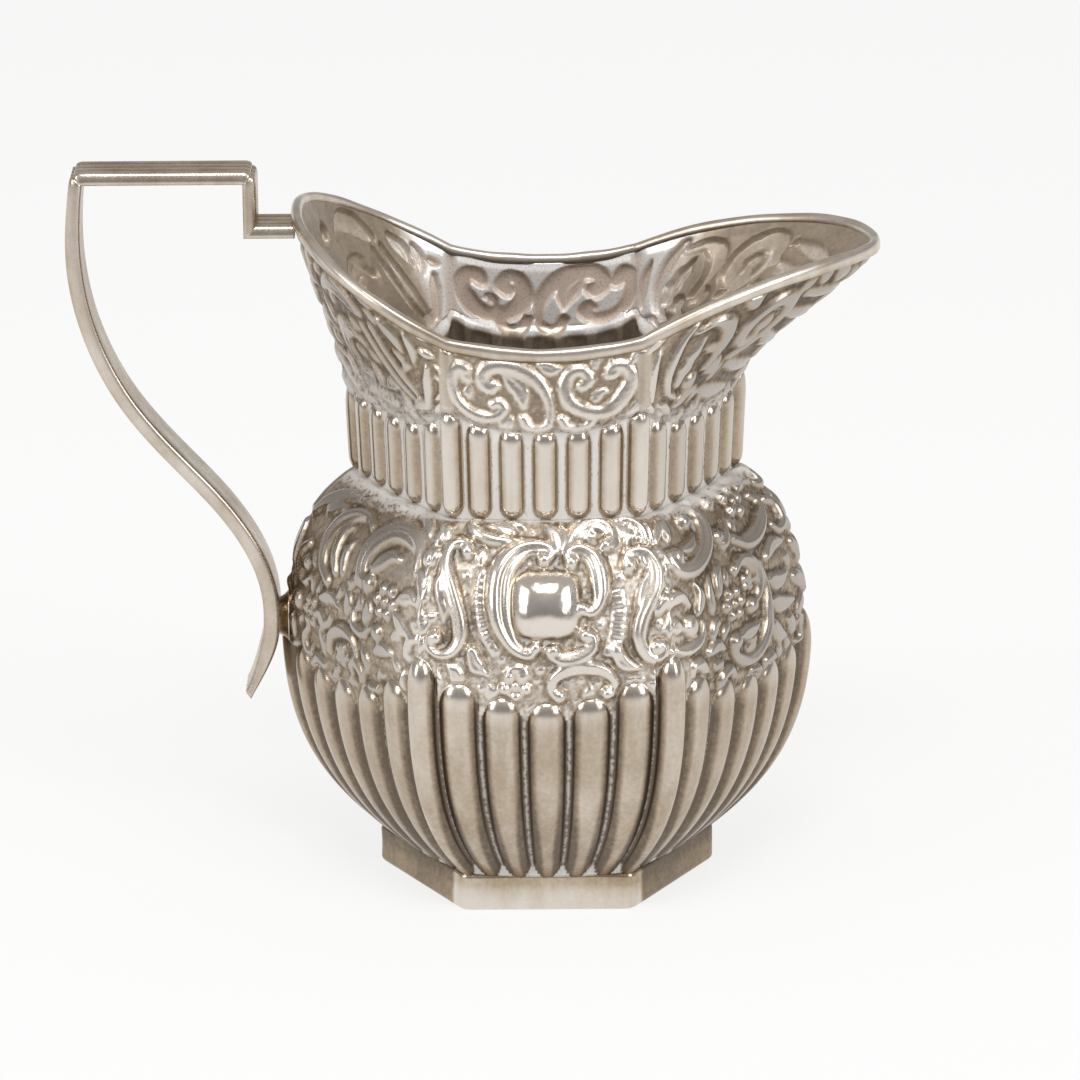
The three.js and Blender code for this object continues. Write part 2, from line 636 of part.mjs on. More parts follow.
// Places points of the strip's outline at a corner of the inner face, on a mitre.
function stripEnd(outline, corner, along, mitre) {
  const out = outward(along).addScaledVector(along, mitre);
  return outline.map((point) => corner.clone().addScaledVector(out, point.y).setY(point.x));
}

const mitreGap = SOLDER_GAP / Math.SQRT2;

function straightStrip(name, start, end, startMitre, endMitre) {
  const outline = stripOutline();
  const along = end.clone().sub(start).normalize();
  const first = start.clone().addScaledVector(along, startMitre === 0 ? 0 : mitreGap);
  const last = end.clone().addScaledVector(along, endMitre === 0 ? 0 : -mitreGap);
  const rings = [
    stripEnd(outline, first, along, startMitre),
    stripEnd(outline, last, along, endMitre),
  ];
  const [firstHub] = stripEnd([STRIP_HUB], first, along, startMitre);
  const [lastHub] = stripEnd([STRIP_HUB], last, along, endMitre);
  return makePart(name, barGeometry(rings, firstHub, lastHub));
}

// Corners of the inner face of the handle, seen from the front, and the way each length runs.
const barHeight = HANDLE_TOP_HEIGHT - STRIP_THICKNESS;
const stubStart = new THREE.Vector3(-(BACK_REACH + rimWireRadius + SOLDER_GAP), 0, STUB_HEIGHT);
const riserFoot = new THREE.Vector3(stubStart.x - STUB_LENGTH - STRIP_THICKNESS, 0, STUB_HEIGHT);
const riserTop = new THREE.Vector3(riserFoot.x, 0, barHeight);
const strapTop = new THREE.Vector3(-(HANDLE_REACH - STRIP_THICKNESS), 0, barHeight);
const BACKWARDS = new THREE.Vector3(-1, 0, 0);
const DOWN = new THREE.Vector3(0, 0, -1);
const riserWay = riserTop.clone().sub(riserFoot).normalize();
const stubMitre = mitreBetween(BACKWARDS, riserWay);
const riserMitre = mitreBetween(riserWay, BACKWARDS);
const barMitre = mitreBetween(BACKWARDS, DOWN);

function makeHandleStub() {
  return straightStrip('handle_stub', stubStart, riserFoot, 0, stubMitre);
}

function makeHandleRiser() {
  return straightStrip('handle_riser', riserFoot, riserTop, -stubMitre, riserMitre);
}

function makeHandleTopBar() {
  return straightStrip('handle_top_bar', riserTop, strapTop, -riserMitre, barMitre);
}

// Inner face of the strap: one long S from the top bar to the lug, then a tail that kicks out.
const strapAtLug = new THREE.Vector3(
  -(bellyRadius(LUG_HEIGHT) + 2 * SOLDER_GAP + LUG_LENGTH),
  0,
  LUG_HEIGHT,
);
const strapCurve = new THREE.CubicBezierCurve3(
  strapTop,
  new THREE.Vector3(strapTop.x - STRAP_BOW, 0, strapTop.z - STRAP_BOW_DROP),
  new THREE.Vector3(strapAtLug.x + STRAP_RETURN_SWAY, 0, LUG_HEIGHT + STRAP_RETURN_RISE),
  strapAtLug,
);
const tailCurve = new THREE.CubicBezierCurve3(
  strapAtLug,
  new THREE.Vector3(strapAtLug.x, 0, LUG_HEIGHT - STRAP_TAIL_DROP / 3),
  new THREE.Vector3(strapAtLug.x - STRAP_TAIL_KICK / 3, 0, LUG_HEIGHT - (2 * STRAP_TAIL_DROP) / 3),
  new THREE.Vector3(strapAtLug.x - STRAP_TAIL_KICK, 0, LUG_HEIGHT - STRAP_TAIL_DROP),
);

function makeHandleStrap() {
  const outline = stripOutline();
  const start = strapTop.clone().addScaledVector(DOWN, mitreGap);
  const rings = [stripEnd(outline, start, DOWN, -barMitre)];
  for (let step = 1; step <= STRAP_STEPS; step += 1) {
    const share = step / STRAP_STEPS;
    rings.push(stripEnd(outline, strapCurve.getPoint(share), strapCurve.getTangent(share), 0));
  }
  for (let step = 1; step <= STRAP_TAIL_STEPS; step += 1) {
    const share = step / STRAP_TAIL_STEPS;
    rings.push(stripEnd(outline, tailCurve.getPoint(share), tailCurve.getTangent(share), 0));
  }
  const [firstHub] = stripEnd([STRIP_HUB], start, DOWN, -barMitre);
  const [lastHub] = stripEnd([STRIP_HUB], tailCurve.getPoint(1), tailCurve.getTangent(1), 0);
  return makePart('handle_strap', barGeometry(rings, firstHub, lastHub));
}

// Inner face of the strap at a height near the lug.
function strapInnerFace(height) {
  const curve = height > LUG_HEIGHT ? strapCurve : tailCurve;
  let high = 0;
  let low = 1;
  for (let step = 0; step < SEARCH_HALVINGS; step += 1) {
    const middle = (low + high) / 2;
    if (curve.getPoint(middle).z > height) {
      high = middle;
    } else {
      low = middle;
    }
  }
  return curve.getPoint(high).x;
}

function makeHandleLug() {
  const half = LUG_WIDTH / 2;
  const rings = [];
  const hubs = [];
  for (let step = 0; step <= LUG_STEPS; step += 1) {
    const height = LUG_HEIGHT + LUG_SPAN * (step / LUG_STEPS - 0.5);
    const atBelly = -(bellyRadius(height) + SOLDER_GAP);
    const atStrap = strapInnerFace(height) + SOLDER_GAP;
    hubs.push(new THREE.Vector3((atBelly + atStrap) / 2, 0, height));
    rings.push([
      new THREE.Vector3(atBelly, -half, height),
      new THREE.Vector3(atBelly, half, height),
      new THREE.Vector3(atStrap, half, height),
      new THREE.Vector3(atStrap, -half, height),
    ]);
  }
  return makePart('handle_lug', barGeometry(rings, hubs[0], hubs[LUG_STEPS]));
}

const vessel = new THREE.Group();
vessel.add(makeFootCollar(), makeBasePlate(), makeBowl(), makeNeck(), makeRimWire());

const handle = new THREE.Group();
handle.add(makeHandleStub(), makeHandleRiser(), makeHandleTopBar(), makeHandleStrap(), makeHandleLug());

// The origin is on the table under the middle of the whole length.
const creamer = new THREE.Group();
creamer.add(vessel, handle);
creamer.position.x = -new THREE.Box3().setFromObject(creamer).getCenter(new THREE.Vector3()).x;

export default creamer;
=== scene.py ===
# Looks of the silver creamer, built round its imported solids.
# Formulas are in millimetres with the axis of the body at x = 0; meshes are in metres.
import math

import bpy
import numpy as np
from mathutils import Matrix, Vector


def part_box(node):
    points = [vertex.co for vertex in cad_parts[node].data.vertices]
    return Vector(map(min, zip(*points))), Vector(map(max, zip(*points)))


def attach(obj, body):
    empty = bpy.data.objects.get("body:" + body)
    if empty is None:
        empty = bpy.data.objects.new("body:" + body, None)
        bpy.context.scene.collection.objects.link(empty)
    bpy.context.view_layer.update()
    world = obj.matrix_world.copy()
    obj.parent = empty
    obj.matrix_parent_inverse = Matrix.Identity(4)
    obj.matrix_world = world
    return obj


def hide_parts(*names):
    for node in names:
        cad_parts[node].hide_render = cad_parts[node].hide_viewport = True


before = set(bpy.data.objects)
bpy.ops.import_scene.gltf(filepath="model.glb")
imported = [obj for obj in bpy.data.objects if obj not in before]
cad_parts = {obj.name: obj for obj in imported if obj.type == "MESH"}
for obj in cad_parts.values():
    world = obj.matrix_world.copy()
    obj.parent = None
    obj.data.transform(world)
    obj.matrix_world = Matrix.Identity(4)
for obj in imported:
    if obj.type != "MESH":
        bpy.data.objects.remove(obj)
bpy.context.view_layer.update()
MM = 0.001

# Section of the body
SIDES = 6
FLUTES_PER_SIDE = 6
COLUMNS_PER_FLUTE = 30
COLUMNS = SIDES * FLUTES_PER_SIDE * COLUMNS_PER_FLUTE
BODY_FACE_HALF_WIDTH_SHARE = 0.48
FOOT_FACE_HALF_WIDTH_SHARE = 0.5
FACE_DISTANCE_SHARE = 0.865
CORNER_SOFTNESS = 0.3
SHEET = 0.7

# Foot
FOOT_CORNER_RADIUS = 23.9
FOOT_HEIGHT = 5.6
FOOT_WALL = 1.6
SOLDER_GAP = 0.25

# Belly of the bowl
BELLY_CORNER_RADIUS = 37.6
BELLY_WIDEST_HEIGHT = 36.2
BELLY_FLARE_OUT = 10.2
BELLY_FLARE_UP = 8.5
BELLY_FULLNESS_BELOW = 14.0
BELLY_FULLNESS_ABOVE = 10.4
SHOULDER_RUN = 6.6
SHOULDER_RISE = 3.9
BELLY_FLUTE_DEPTH = 1.3
BELLY_CORNER_TOPS = (37.5, 41.0, 41.0, 41.0)
BELLY_SIDE_TOPS = (33.4, 35.0, 33.0)
BELLY_TOP_SHARPNESS = 2
END_TOP_SHARPNESS = 5
CORNER_FLUTE_GAIN = 1.25

# Neck and mouth
NECK_CORNER_RADIUS = 27.6
NECK_CREASE_HEIGHT = 58.5
NECK_TAPER = 0.6
NECK_FLUTE_DEPTH = 1.0
NECK_FLUTE_TOP_HEIGHT = 71.6
NECK_CORNER_TOPS = (74.0, 74.4, 74.4, 71.6)
NECK_SIDE_TOPS = (70.2, 71.2, 70.2)
NECK_TOP_SHARPNESS = 3
MOUTH_HALF_WIDTH = 24.3
MOUTH_FLAT_HALF_LENGTH = 13.2
MOUTH_CORNER_HEIGHT = 83.6
MOUTH_DIP = 1.6
SPOUT_REACH = 46.0
SPOUT_HEIGHT = 90.9
SPOUT_CREST = 0.9
SPOUT_NOSE_HALF_WIDTH = 11.0
SPOUT_CHEEK_REACH = 30.5
SPOUT_CHEEK_HALF_WIDTH = 18.2
BACK_REACH = 34.2
BACK_HEIGHT = 96.0
BACK_CREST = 0.3
BACK_NOSE_HALF_WIDTH = 15.0
BACK_CHEEK_REACH = 26.0
BACK_CHEEK_DROP = 5.8
FLARE_HOLLOW = 0.33
FLARE_CURL = 0.5
RIM_RADIUS = 0.55
RIM_OVERLAP = 0.3

# Handle strip
STRIP_WIDTH = 7.5
STRIP_THICKNESS = 1.9
STRIP_REEDS = 4
REED_DEPTH = 0.35
HANDLE_REACH = 65.5
HANDLE_TOP_HEIGHT = 102.6
STUB_HEIGHT = 93.0
STUB_LENGTH = 4.6
STRAP_BOW = 4.8
STRAP_BOW_DROP = 36.3
STRAP_RETURN_RISE = 21.6
STRAP_RETURN_SWAY = 1.0
STRAP_TAIL_DROP = 11.2
STRAP_TAIL_KICK = 3.0
STRAP_GAIN = 0.2
STRAP_SHIFT = 1.15
LUG_HEIGHT = 37.0
LUG_LENGTH = 0.6

BODY = "root"
foot_low, foot_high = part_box("foot_collar")
AXIS = np.array(((foot_low.x + foot_high.x) / 2 / MM, 0.0, 0.0))


# Curves and sections

def smooth_step(share):
    share = np.clip(share, 0.0, 1.0)
    return share * share * (3 - 2 * share)


def lengths(vectors):
    return np.linalg.norm(vectors, axis=-1, keepdims=True)


def running_total(steps):
    return np.concatenate([[0], np.cumsum(steps)])


def run_along(points):
    """Distance of each point from the start of a line."""
    return running_total(np.linalg.norm(np.diff(points, axis=0), axis=1))


def bezier(controls, share):
    controls = np.asarray(controls, float)
    share = np.asarray(share, float)[..., None]
    degree = len(controls) - 1
    total = 0.0
    for index, control in enumerate(controls):
        weight = math.comb(degree, index) * share**index * (1 - share) ** (degree - index)
        total = total + weight * control
    return total


def unit_corners(face_half_width):
    near, far = face_half_width, FACE_DISTANCE_SHARE
    corners = [(1, 0), (near, far), (-near, far), (-1, 0), (-near, -far), (near, -far)]
    return np.array(corners, float)


BODY_CORNERS = unit_corners(BODY_FACE_HALF_WIDTH_SHARE)
FOOT_CORNERS = unit_corners(FOOT_FACE_HALF_WIDTH_SHARE)


def unit_section(turn):
    """Softened six-sided section of corner radius one; a whole turn number is a corner."""
    turn = np.asarray(turn, float) % SIDES
    side = np.floor(turn).astype(int)
    along = (turn - side)[..., None]
    start = BODY_CORNERS[side]
    end = BODY_CORNERS[(side + 1) % SIDES]
    flat = start + (end - start) * along
    reach = lengths(start) * (1 - along) + lengths(end) * along
    rounded = flat / lengths(flat) * reach
    return flat + (rounded - flat) * CORNER_SOFTNESS


def section_normal(turn):
    step = 0.5 / (FLUTES_PER_SIDE * 4)
    tangent = unit_section(turn + step) - unit_section(turn - step)
    tangent /= lengths(tangent)
    return np.stack([tangent[..., 1], -tangent[..., 0]], -1)


def on_section(turn, radius, lift, height):
    flat = unit_section(turn) * radius[..., None] + section_normal(turn) * lift[..., None]
    return np.concatenate([flat, height[..., None]], -1)


def flute_top(turn, corner_tops, side_tops, sharpness):
    """Height of the flute tops, which rise from the middle of a side to its corners."""
    folded = np.minimum(turn % SIDES, SIDES - turn % SIDES)
    side = np.minimum(np.floor(folded).astype(int), SIDES // 2 - 1)
    corner = np.round(folded).astype(int)
    near_corner = np.abs(2 * (folded - side) - 1)
    rise = near_corner ** np.where(corner % (SIDES // 2) == 0, END_TOP_SHARPNESS, sharpness)
    side_top = np.array(side_tops)[side]
    return side_top + (np.array(corner_tops)[corner] - side_top) * rise


def belly_flute_top(turn):
    return flute_top(turn, BELLY_CORNER_TOPS, BELLY_SIDE_TOPS, BELLY_TOP_SHARPNESS)


def neck_flute_top(turn):
    return flute_top(turn, NECK_CORNER_TOPS, NECK_SIDE_TOPS, NECK_TOP_SHARPNESS)


CURVE_SHARES = np.linspace(0, 1, 800)
BELLY_BELOW = bezier([
    (FOOT_CORNER_RADIUS, FOOT_HEIGHT),
    (FOOT_CORNER_RADIUS + BELLY_FLARE_OUT, FOOT_HEIGHT + BELLY_FLARE_UP),
    (BELLY_CORNER_RADIUS, BELLY_WIDEST_HEIGHT - BELLY_FULLNESS_BELOW),
    (BELLY_CORNER_RADIUS, BELLY_WIDEST_HEIGHT),
], CURVE_SHARES)
BELLY_ABOVE = bezier([
    (BELLY_CORNER_RADIUS, BELLY_WIDEST_HEIGHT),
    (BELLY_CORNER_RADIUS, BELLY_WIDEST_HEIGHT + BELLY_FULLNESS_ABOVE),
    (NECK_CORNER_RADIUS + SHOULDER_RUN, NECK_CREASE_HEIGHT - SHOULDER_RISE),
    (NECK_CORNER_RADIUS, NECK_CREASE_HEIGHT),
], CURVE_SHARES)
BELLY_PROFILE = np.vstack([BELLY_BELOW, BELLY_ABOVE[1:]])
FACE_PROFILE = BELLY_PROFILE * (FACE_DISTANCE_SHARE, 1)
BELLY_RUN = run_along(FACE_PROFILE)


def belly_radius(height):
    return np.interp(height, BELLY_PROFILE[:, 1], BELLY_PROFILE[:, 0])


def belly_run(height):
    return np.interp(height, BELLY_PROFILE[:, 1], BELLY_RUN)


def belly_height(run):
    return np.interp(run, BELLY_RUN, BELLY_PROFILE[:, 1])


SPOUT_EDGE = [
    (SPOUT_REACH, 0, SPOUT_HEIGHT),
    (SPOUT_REACH, SPOUT_NOSE_HALF_WIDTH, SPOUT_HEIGHT + SPOUT_CREST),
    (SPOUT_CHEEK_REACH, SPOUT_CHEEK_HALF_WIDTH, SPOUT_HEIGHT + SPOUT_CREST),
    (MOUTH_FLAT_HALF_LENGTH, MOUTH_HALF_WIDTH, MOUTH_CORNER_HEIGHT),
]
SIDE_EDGE = [
    (MOUTH_FLAT_HALF_LENGTH, MOUTH_HALF_WIDTH, MOUTH_CORNER_HEIGHT),
    (0, MOUTH_HALF_WIDTH, MOUTH_CORNER_HEIGHT - 2 * MOUTH_DIP),
    (-MOUTH_FLAT_HALF_LENGTH, MOUTH_HALF_WIDTH, MOUTH_CORNER_HEIGHT),
]
BACK_EDGE = [
    (-MOUTH_FLAT_HALF_LENGTH, MOUTH_HALF_WIDTH, MOUTH_CORNER_HEIGHT),
    (-BACK_CHEEK_REACH, MOUTH_HALF_WIDTH, BACK_HEIGHT - BACK_CHEEK_DROP),
    (-BACK_REACH, BACK_NOSE_HALF_WIDTH, BACK_HEIGHT + BACK_CREST),
    (-BACK_REACH, 0, BACK_HEIGHT),
]


def mouth_edge(turn):
    """Middle line of the rim wire."""
    turn = np.asarray(turn, float) % SIDES
    mirrored = turn > SIDES / 2
    half = np.where(mirrored, SIDES - turn, turn)
    quarter = np.minimum(np.floor(half).astype(int), 2)
    share = half - quarter
    point = bezier(SPOUT_EDGE, share)
    point = np.where((quarter == 1)[..., None], bezier(SIDE_EDGE, share), point)
    point = np.where((quarter == 2)[..., None], bezier(BACK_EDGE, share), point)
    point[..., 1] *= np.where(mirrored, -1, 1)
    return point


def mouth_normal(turn):
    step = 0.02
    tangent = mouth_edge(turn + step) - mouth_edge(turn - step)
    tangent[..., 2] = 0
    tangent /= lengths(tangent)
    return np.stack([tangent[..., 1], -tangent[..., 0], 0 * tangent[..., 0]], -1)


def neck_radius(height):
    rise = NECK_FLUTE_TOP_HEIGHT - NECK_CREASE_HEIGHT
    return NECK_CORNER_RADIUS + NECK_TAPER * (height - NECK_CREASE_HEIGHT) / rise


def flare_point(turn, share, inset):
    """Point of the flare between the flute tops and the rim wire."""
    low = neck_flute_top(turn)
    start = on_section(turn, neck_radius(low), -inset, low)
    end = mouth_edge(turn) + mouth_normal(turn) * np.minimum(RIM_RADIUS - inset, 0)[..., None]
    end[..., 2] -= RIM_OVERLAP * RIM_RADIUS
    eased = share + (smooth_step(share) - share) * FLARE_CURL
    towards_spout = (1 + np.cos(2 * np.pi * turn / SIDES)) / 2
    eased = eased ** (1 + FLARE_HOLLOW * towards_spout)
    point = start + (end - start) * eased[..., None]
    point[..., 2] = start[..., 2] + (end[..., 2] - start[..., 2]) * share
    return point


# Ornament: heights drawn on plates, one for each design

PLATE_DENSITY = 10
FULLNESS = 1.25
BEAD_FULLNESS = 1.15
BARE_HEIGHT = 0.12


class Plate:
    """Heights of the ornament of one face, over millimetres across and down."""

    def __init__(self, left, right, top, bottom, fullness=FULLNESS):
        self.fullness = fullness
        self.corner = (left, top)
        across = np.arange(left, right, 1 / PLATE_DENSITY)
        down = np.arange(top, bottom, 1 / PLATE_DENSITY)
        self.across, self.down = np.meshgrid(across, down)
        self.height = np.zeros_like(self.across)

    def window(self, points, margin):
        """Slices of the plate that hold the points with a margin round them."""
        low = (np.min(points, axis=0) - margin - self.corner) * PLATE_DENSITY
        high = (np.max(points, axis=0) + margin - self.corner) * PLATE_DENSITY
        rows = slice(max(int(low[1]), 0), max(int(high[1]) + 2, 0))
        columns = slice(max(int(low[0]), 0), max(int(high[0]) + 2, 0))
        return rows, columns

    def near(self, centre, radius):
        """Slices round a centre, and the distance of their spots from it."""
        part = self.window([centre], radius)
        return part, np.hypot(self.across[part] - centre[0], self.down[part] - centre[1])

    def along(self, points, margin):
        """A smooth line through points, the slices round it, and where their spots lie by it."""
        line = spline(points)
        part = self.window(line, margin)
        return line, part, beside(line, self.across[part], self.down[part])

    def is_bare(self, centre, radius):
        part, away = self.near(centre, radius)
        return self.height[part][away < radius].max(initial=0.0) < BARE_HEIGHT

    def lift(self, part, height):
        self.height[part] = np.maximum(self.height[part], height)

    def read(self, across, down, values=None):
        values = self.height if values is None else values
        rows, columns = values.shape
        x = np.clip((across - self.corner[0]) * PLATE_DENSITY, 0, columns - 1.001)
        y = np.clip((down - self.corner[1]) * PLATE_DENSITY, 0, rows - 1.001)
        column, row = x.astype(int), y.astype(int)
        fx, fy = x - column, y - row
        upper = values[row, column] * (1 - fx) + values[row, column + 1] * fx
        lower = values[row + 1, column] * (1 - fx) + values[row + 1, column + 1] * fx
        return upper * (1 - fy) + lower * fy


def blurred(values, radius):
    """Three box blurs, close to a round blur of that radius in millimetres."""
    size = max(int(round(radius * PLATE_DENSITY)), 1)
    for axis in (0, 1, 0, 1, 0, 1):
        pad = [(0, 0), (0, 0)]
        pad[axis] = (size + 1, size)
        total = np.cumsum(np.pad(values, pad, mode="edge"), axis=axis)
        span = 2 * size + 1
        count = values.shape[axis]
        late = np.take(total, np.arange(span, span + count), axis=axis)
        early = np.take(total, np.arange(count), axis=axis)
        values = (late - early) / span
    return values


def spline(points, steps=9):
    """Smooth line through given points."""
    points = np.asarray(points, float)
    padded = np.vstack([2 * points[0] - points[1], points, 2 * points[-1] - points[-2]])
    share = np.linspace(0, 1, steps, endpoint=False)[:, None]
    line = []
    for before, start, end, after in zip(padded, padded[1:], padded[2:], padded[3:]):
        line.append(0.5 * (
            2 * start + (end - before) * share
            + (2 * before - 5 * start + 4 * end - after) * share**2
            + (3 * start - before - 3 * end + after) * share**3
        ))
    return np.vstack(line + [points[-1:]])


def beside(line, across, down):
    """For each spot, its signed distance from a line and its place along it, 0 to 1; also its length."""
    start, step = line[:-1], np.diff(line, axis=0)
    length = np.linalg.norm(step, axis=1)
    run = running_total(length)
    dx = across[..., None] - start[:, 0]
    dy = down[..., None] - start[:, 1]
    share = np.clip((dx * step[:, 0] + dy * step[:, 1]) / length**2, 0, 1)
    away = np.hypot(dx - share * step[:, 0], dy - share * step[:, 1])
    best = away.argmin(-1)[..., None]

    def pick(values):
        return np.take_along_axis(values, best, -1)[..., 0]

    turn_side = np.sign(pick(step[:, 0] * dy - step[:, 1] * dx))
    place = pick(share * length + run[:-1]) / run[-1]
    return pick(away) * np.where(turn_side == 0, 1, turn_side), place, run[-1]


def scroll(plate, points, width, height, channel=0.0, ends=(0.6, 0.4), ribs=0):
    """A raised scroll along a line, round or ribbed across, or with a groove by its hollow side."""
    width = plate.fullness * width
    line, part, (side, place, _) = plate.along(points, width)
    swell = ends[0] + (1 - ends[0]) * smooth_step(place / 0.4)
    swell = swell - (1 - ends[1]) * smooth_step((place - 0.55) / 0.45)
    cross = np.abs(side) / (width / 2 * np.maximum(swell, 0.15))
    body = np.sqrt(np.clip(1 - cross**2, 0, 1))
    if channel:
        x, y = line.T
        hollow = np.sign(np.sum(x * np.roll(y, -1) - np.roll(x, -1) * y))
        off_groove = cross * np.sign(side) * hollow - 0.3
        body = body * (1 - channel * np.exp(-((off_groove / 0.17) ** 2)))
    if ribs:
        body = body * (0.72 + 0.28 * np.cos(np.pi * ribs * side / (width / 2)))
    plate.lift(part, height * body * (0.55 + 0.45 * swell))


def leaf(plate, points, width, height, lobes=0):
    """A leaf with a vein, pointed at its far end."""
    width = plate.fullness * width
    _, part, (side, place, _) = plate.along(points, width)
    swell = np.sin(np.pi * np.clip(0.12 + 0.88 * place, 0, 1) ** 0.8) + 0.02
    if lobes:
        swell = swell * (0.86 + 0.14 * np.cos(2 * np.pi * lobes * place))
    cross = side / (width / 2 * swell)
    body = np.clip(1 - cross**2, 0, 1) ** 0.6
    vein = 1 - 0.4 * np.exp(-(cross / 0.22) ** 2) * smooth_step(4 * (1 - place))
    plate.lift(part, height * body * vein)


def bead(plate, centre, radius, height):
    radius = BEAD_FULLNESS * radius
    part, away = plate.near(centre, radius)
    plate.lift(part, height * np.sqrt(np.clip(1 - (away / radius) ** 2, 0, 1)))


def flower(plate, centre, radius, petals, height, turned=0.0):
    """Round petals, apart from each other, about a round middle."""
    for index in range(petals):
        angle = turned + 2 * math.pi * index / petals
        away = 0.68 * radius
        petal = (centre[0] + away * math.cos(angle), centre[1] + away * math.sin(angle))
        bead(plate, petal, 2.1 * radius / (petals + 1), 0.9 * height)
    bead(plate, centre, 0.24 * radius, height)


def pillow(plate, centre, half_width, half_height, height):
    """A plain cushioned boss with rounded corners."""
    part = plate.window([centre], max(half_width, half_height) + 1)
    x = (plate.across[part] - centre[0]) / half_width
    y = (plate.down[part] - centre[1]) / half_height
    reach = (np.abs(x) ** 3.4 + np.abs(y) ** 3.4) ** (1 / 3.4)
    plate.lift(part, height * np.clip(1 - reach**2, 0, 1) ** 0.6)


def fringe(plate, points, near, far, pitch, height):
    """Short ribs that stand off one side of a line."""
    _, part, (side, place, length) = plate.along(points, max(abs(near), abs(far)))
    across = (side - near) / (far - near)
    inside = (across > 0) & (across < 1) & (place > 0.002) & (place < 0.998)
    count = max(round(length / pitch), 1)
    rib = np.abs(np.sin(np.pi * count * place)) ** 0.7
    edge = np.sqrt(np.clip(4 * across * (1 - across), 0, 1))
    plate.lift(part, np.where(inside, height * rib * edge, 0))


FILLER_TRIES = 900
CURL_RADIUS = 2
SPRIG_RADIUS = 1

# Lines of the fillers, ahead and aside in shares of their radius
CURL = ((-1, 0), (-0.5, 0.7), (0.4, 0.6), (0.7, -0.1), (0.2, -0.3))
SPRIG = ((-1, 0), (0, 0.35), (1, 0))


def fill_ground(plate, seed, left, right, top, bottom, radii):
    """Curls, leaves and buds, ever smaller, wherever the ground is still bare."""
    chance = np.random.default_rng(seed)
    for radius in radii:
        line = CURL if radius > CURL_RADIUS else SPRIG
        for _ in range(FILLER_TRIES):
            centre = chance.uniform((left, top), (right, bottom))
            angle = chance.uniform(0, 2 * np.pi)
            if not plate.is_bare(centre, radius):
                continue
            along = radius * np.array((math.cos(angle), math.sin(angle)))
            bow = np.array((-along[1], along[0]))
            points = [centre + ahead * along + aside * bow for ahead, aside in line]
            if radius > CURL_RADIUS:
                scroll(plate, points, 1.6, 0.95)
            elif radius > SPRIG_RADIUS:
                leaf(plate, points, 1.2 * radius, 0.35 + 0.25 * radius)
            else:
                bead(plate, centre, 0.75 * radius, 0.4)


# Designs: for each kind of stamp, what its function takes after the plate.
# On the belly, across from the middle of the face and down from the crease.

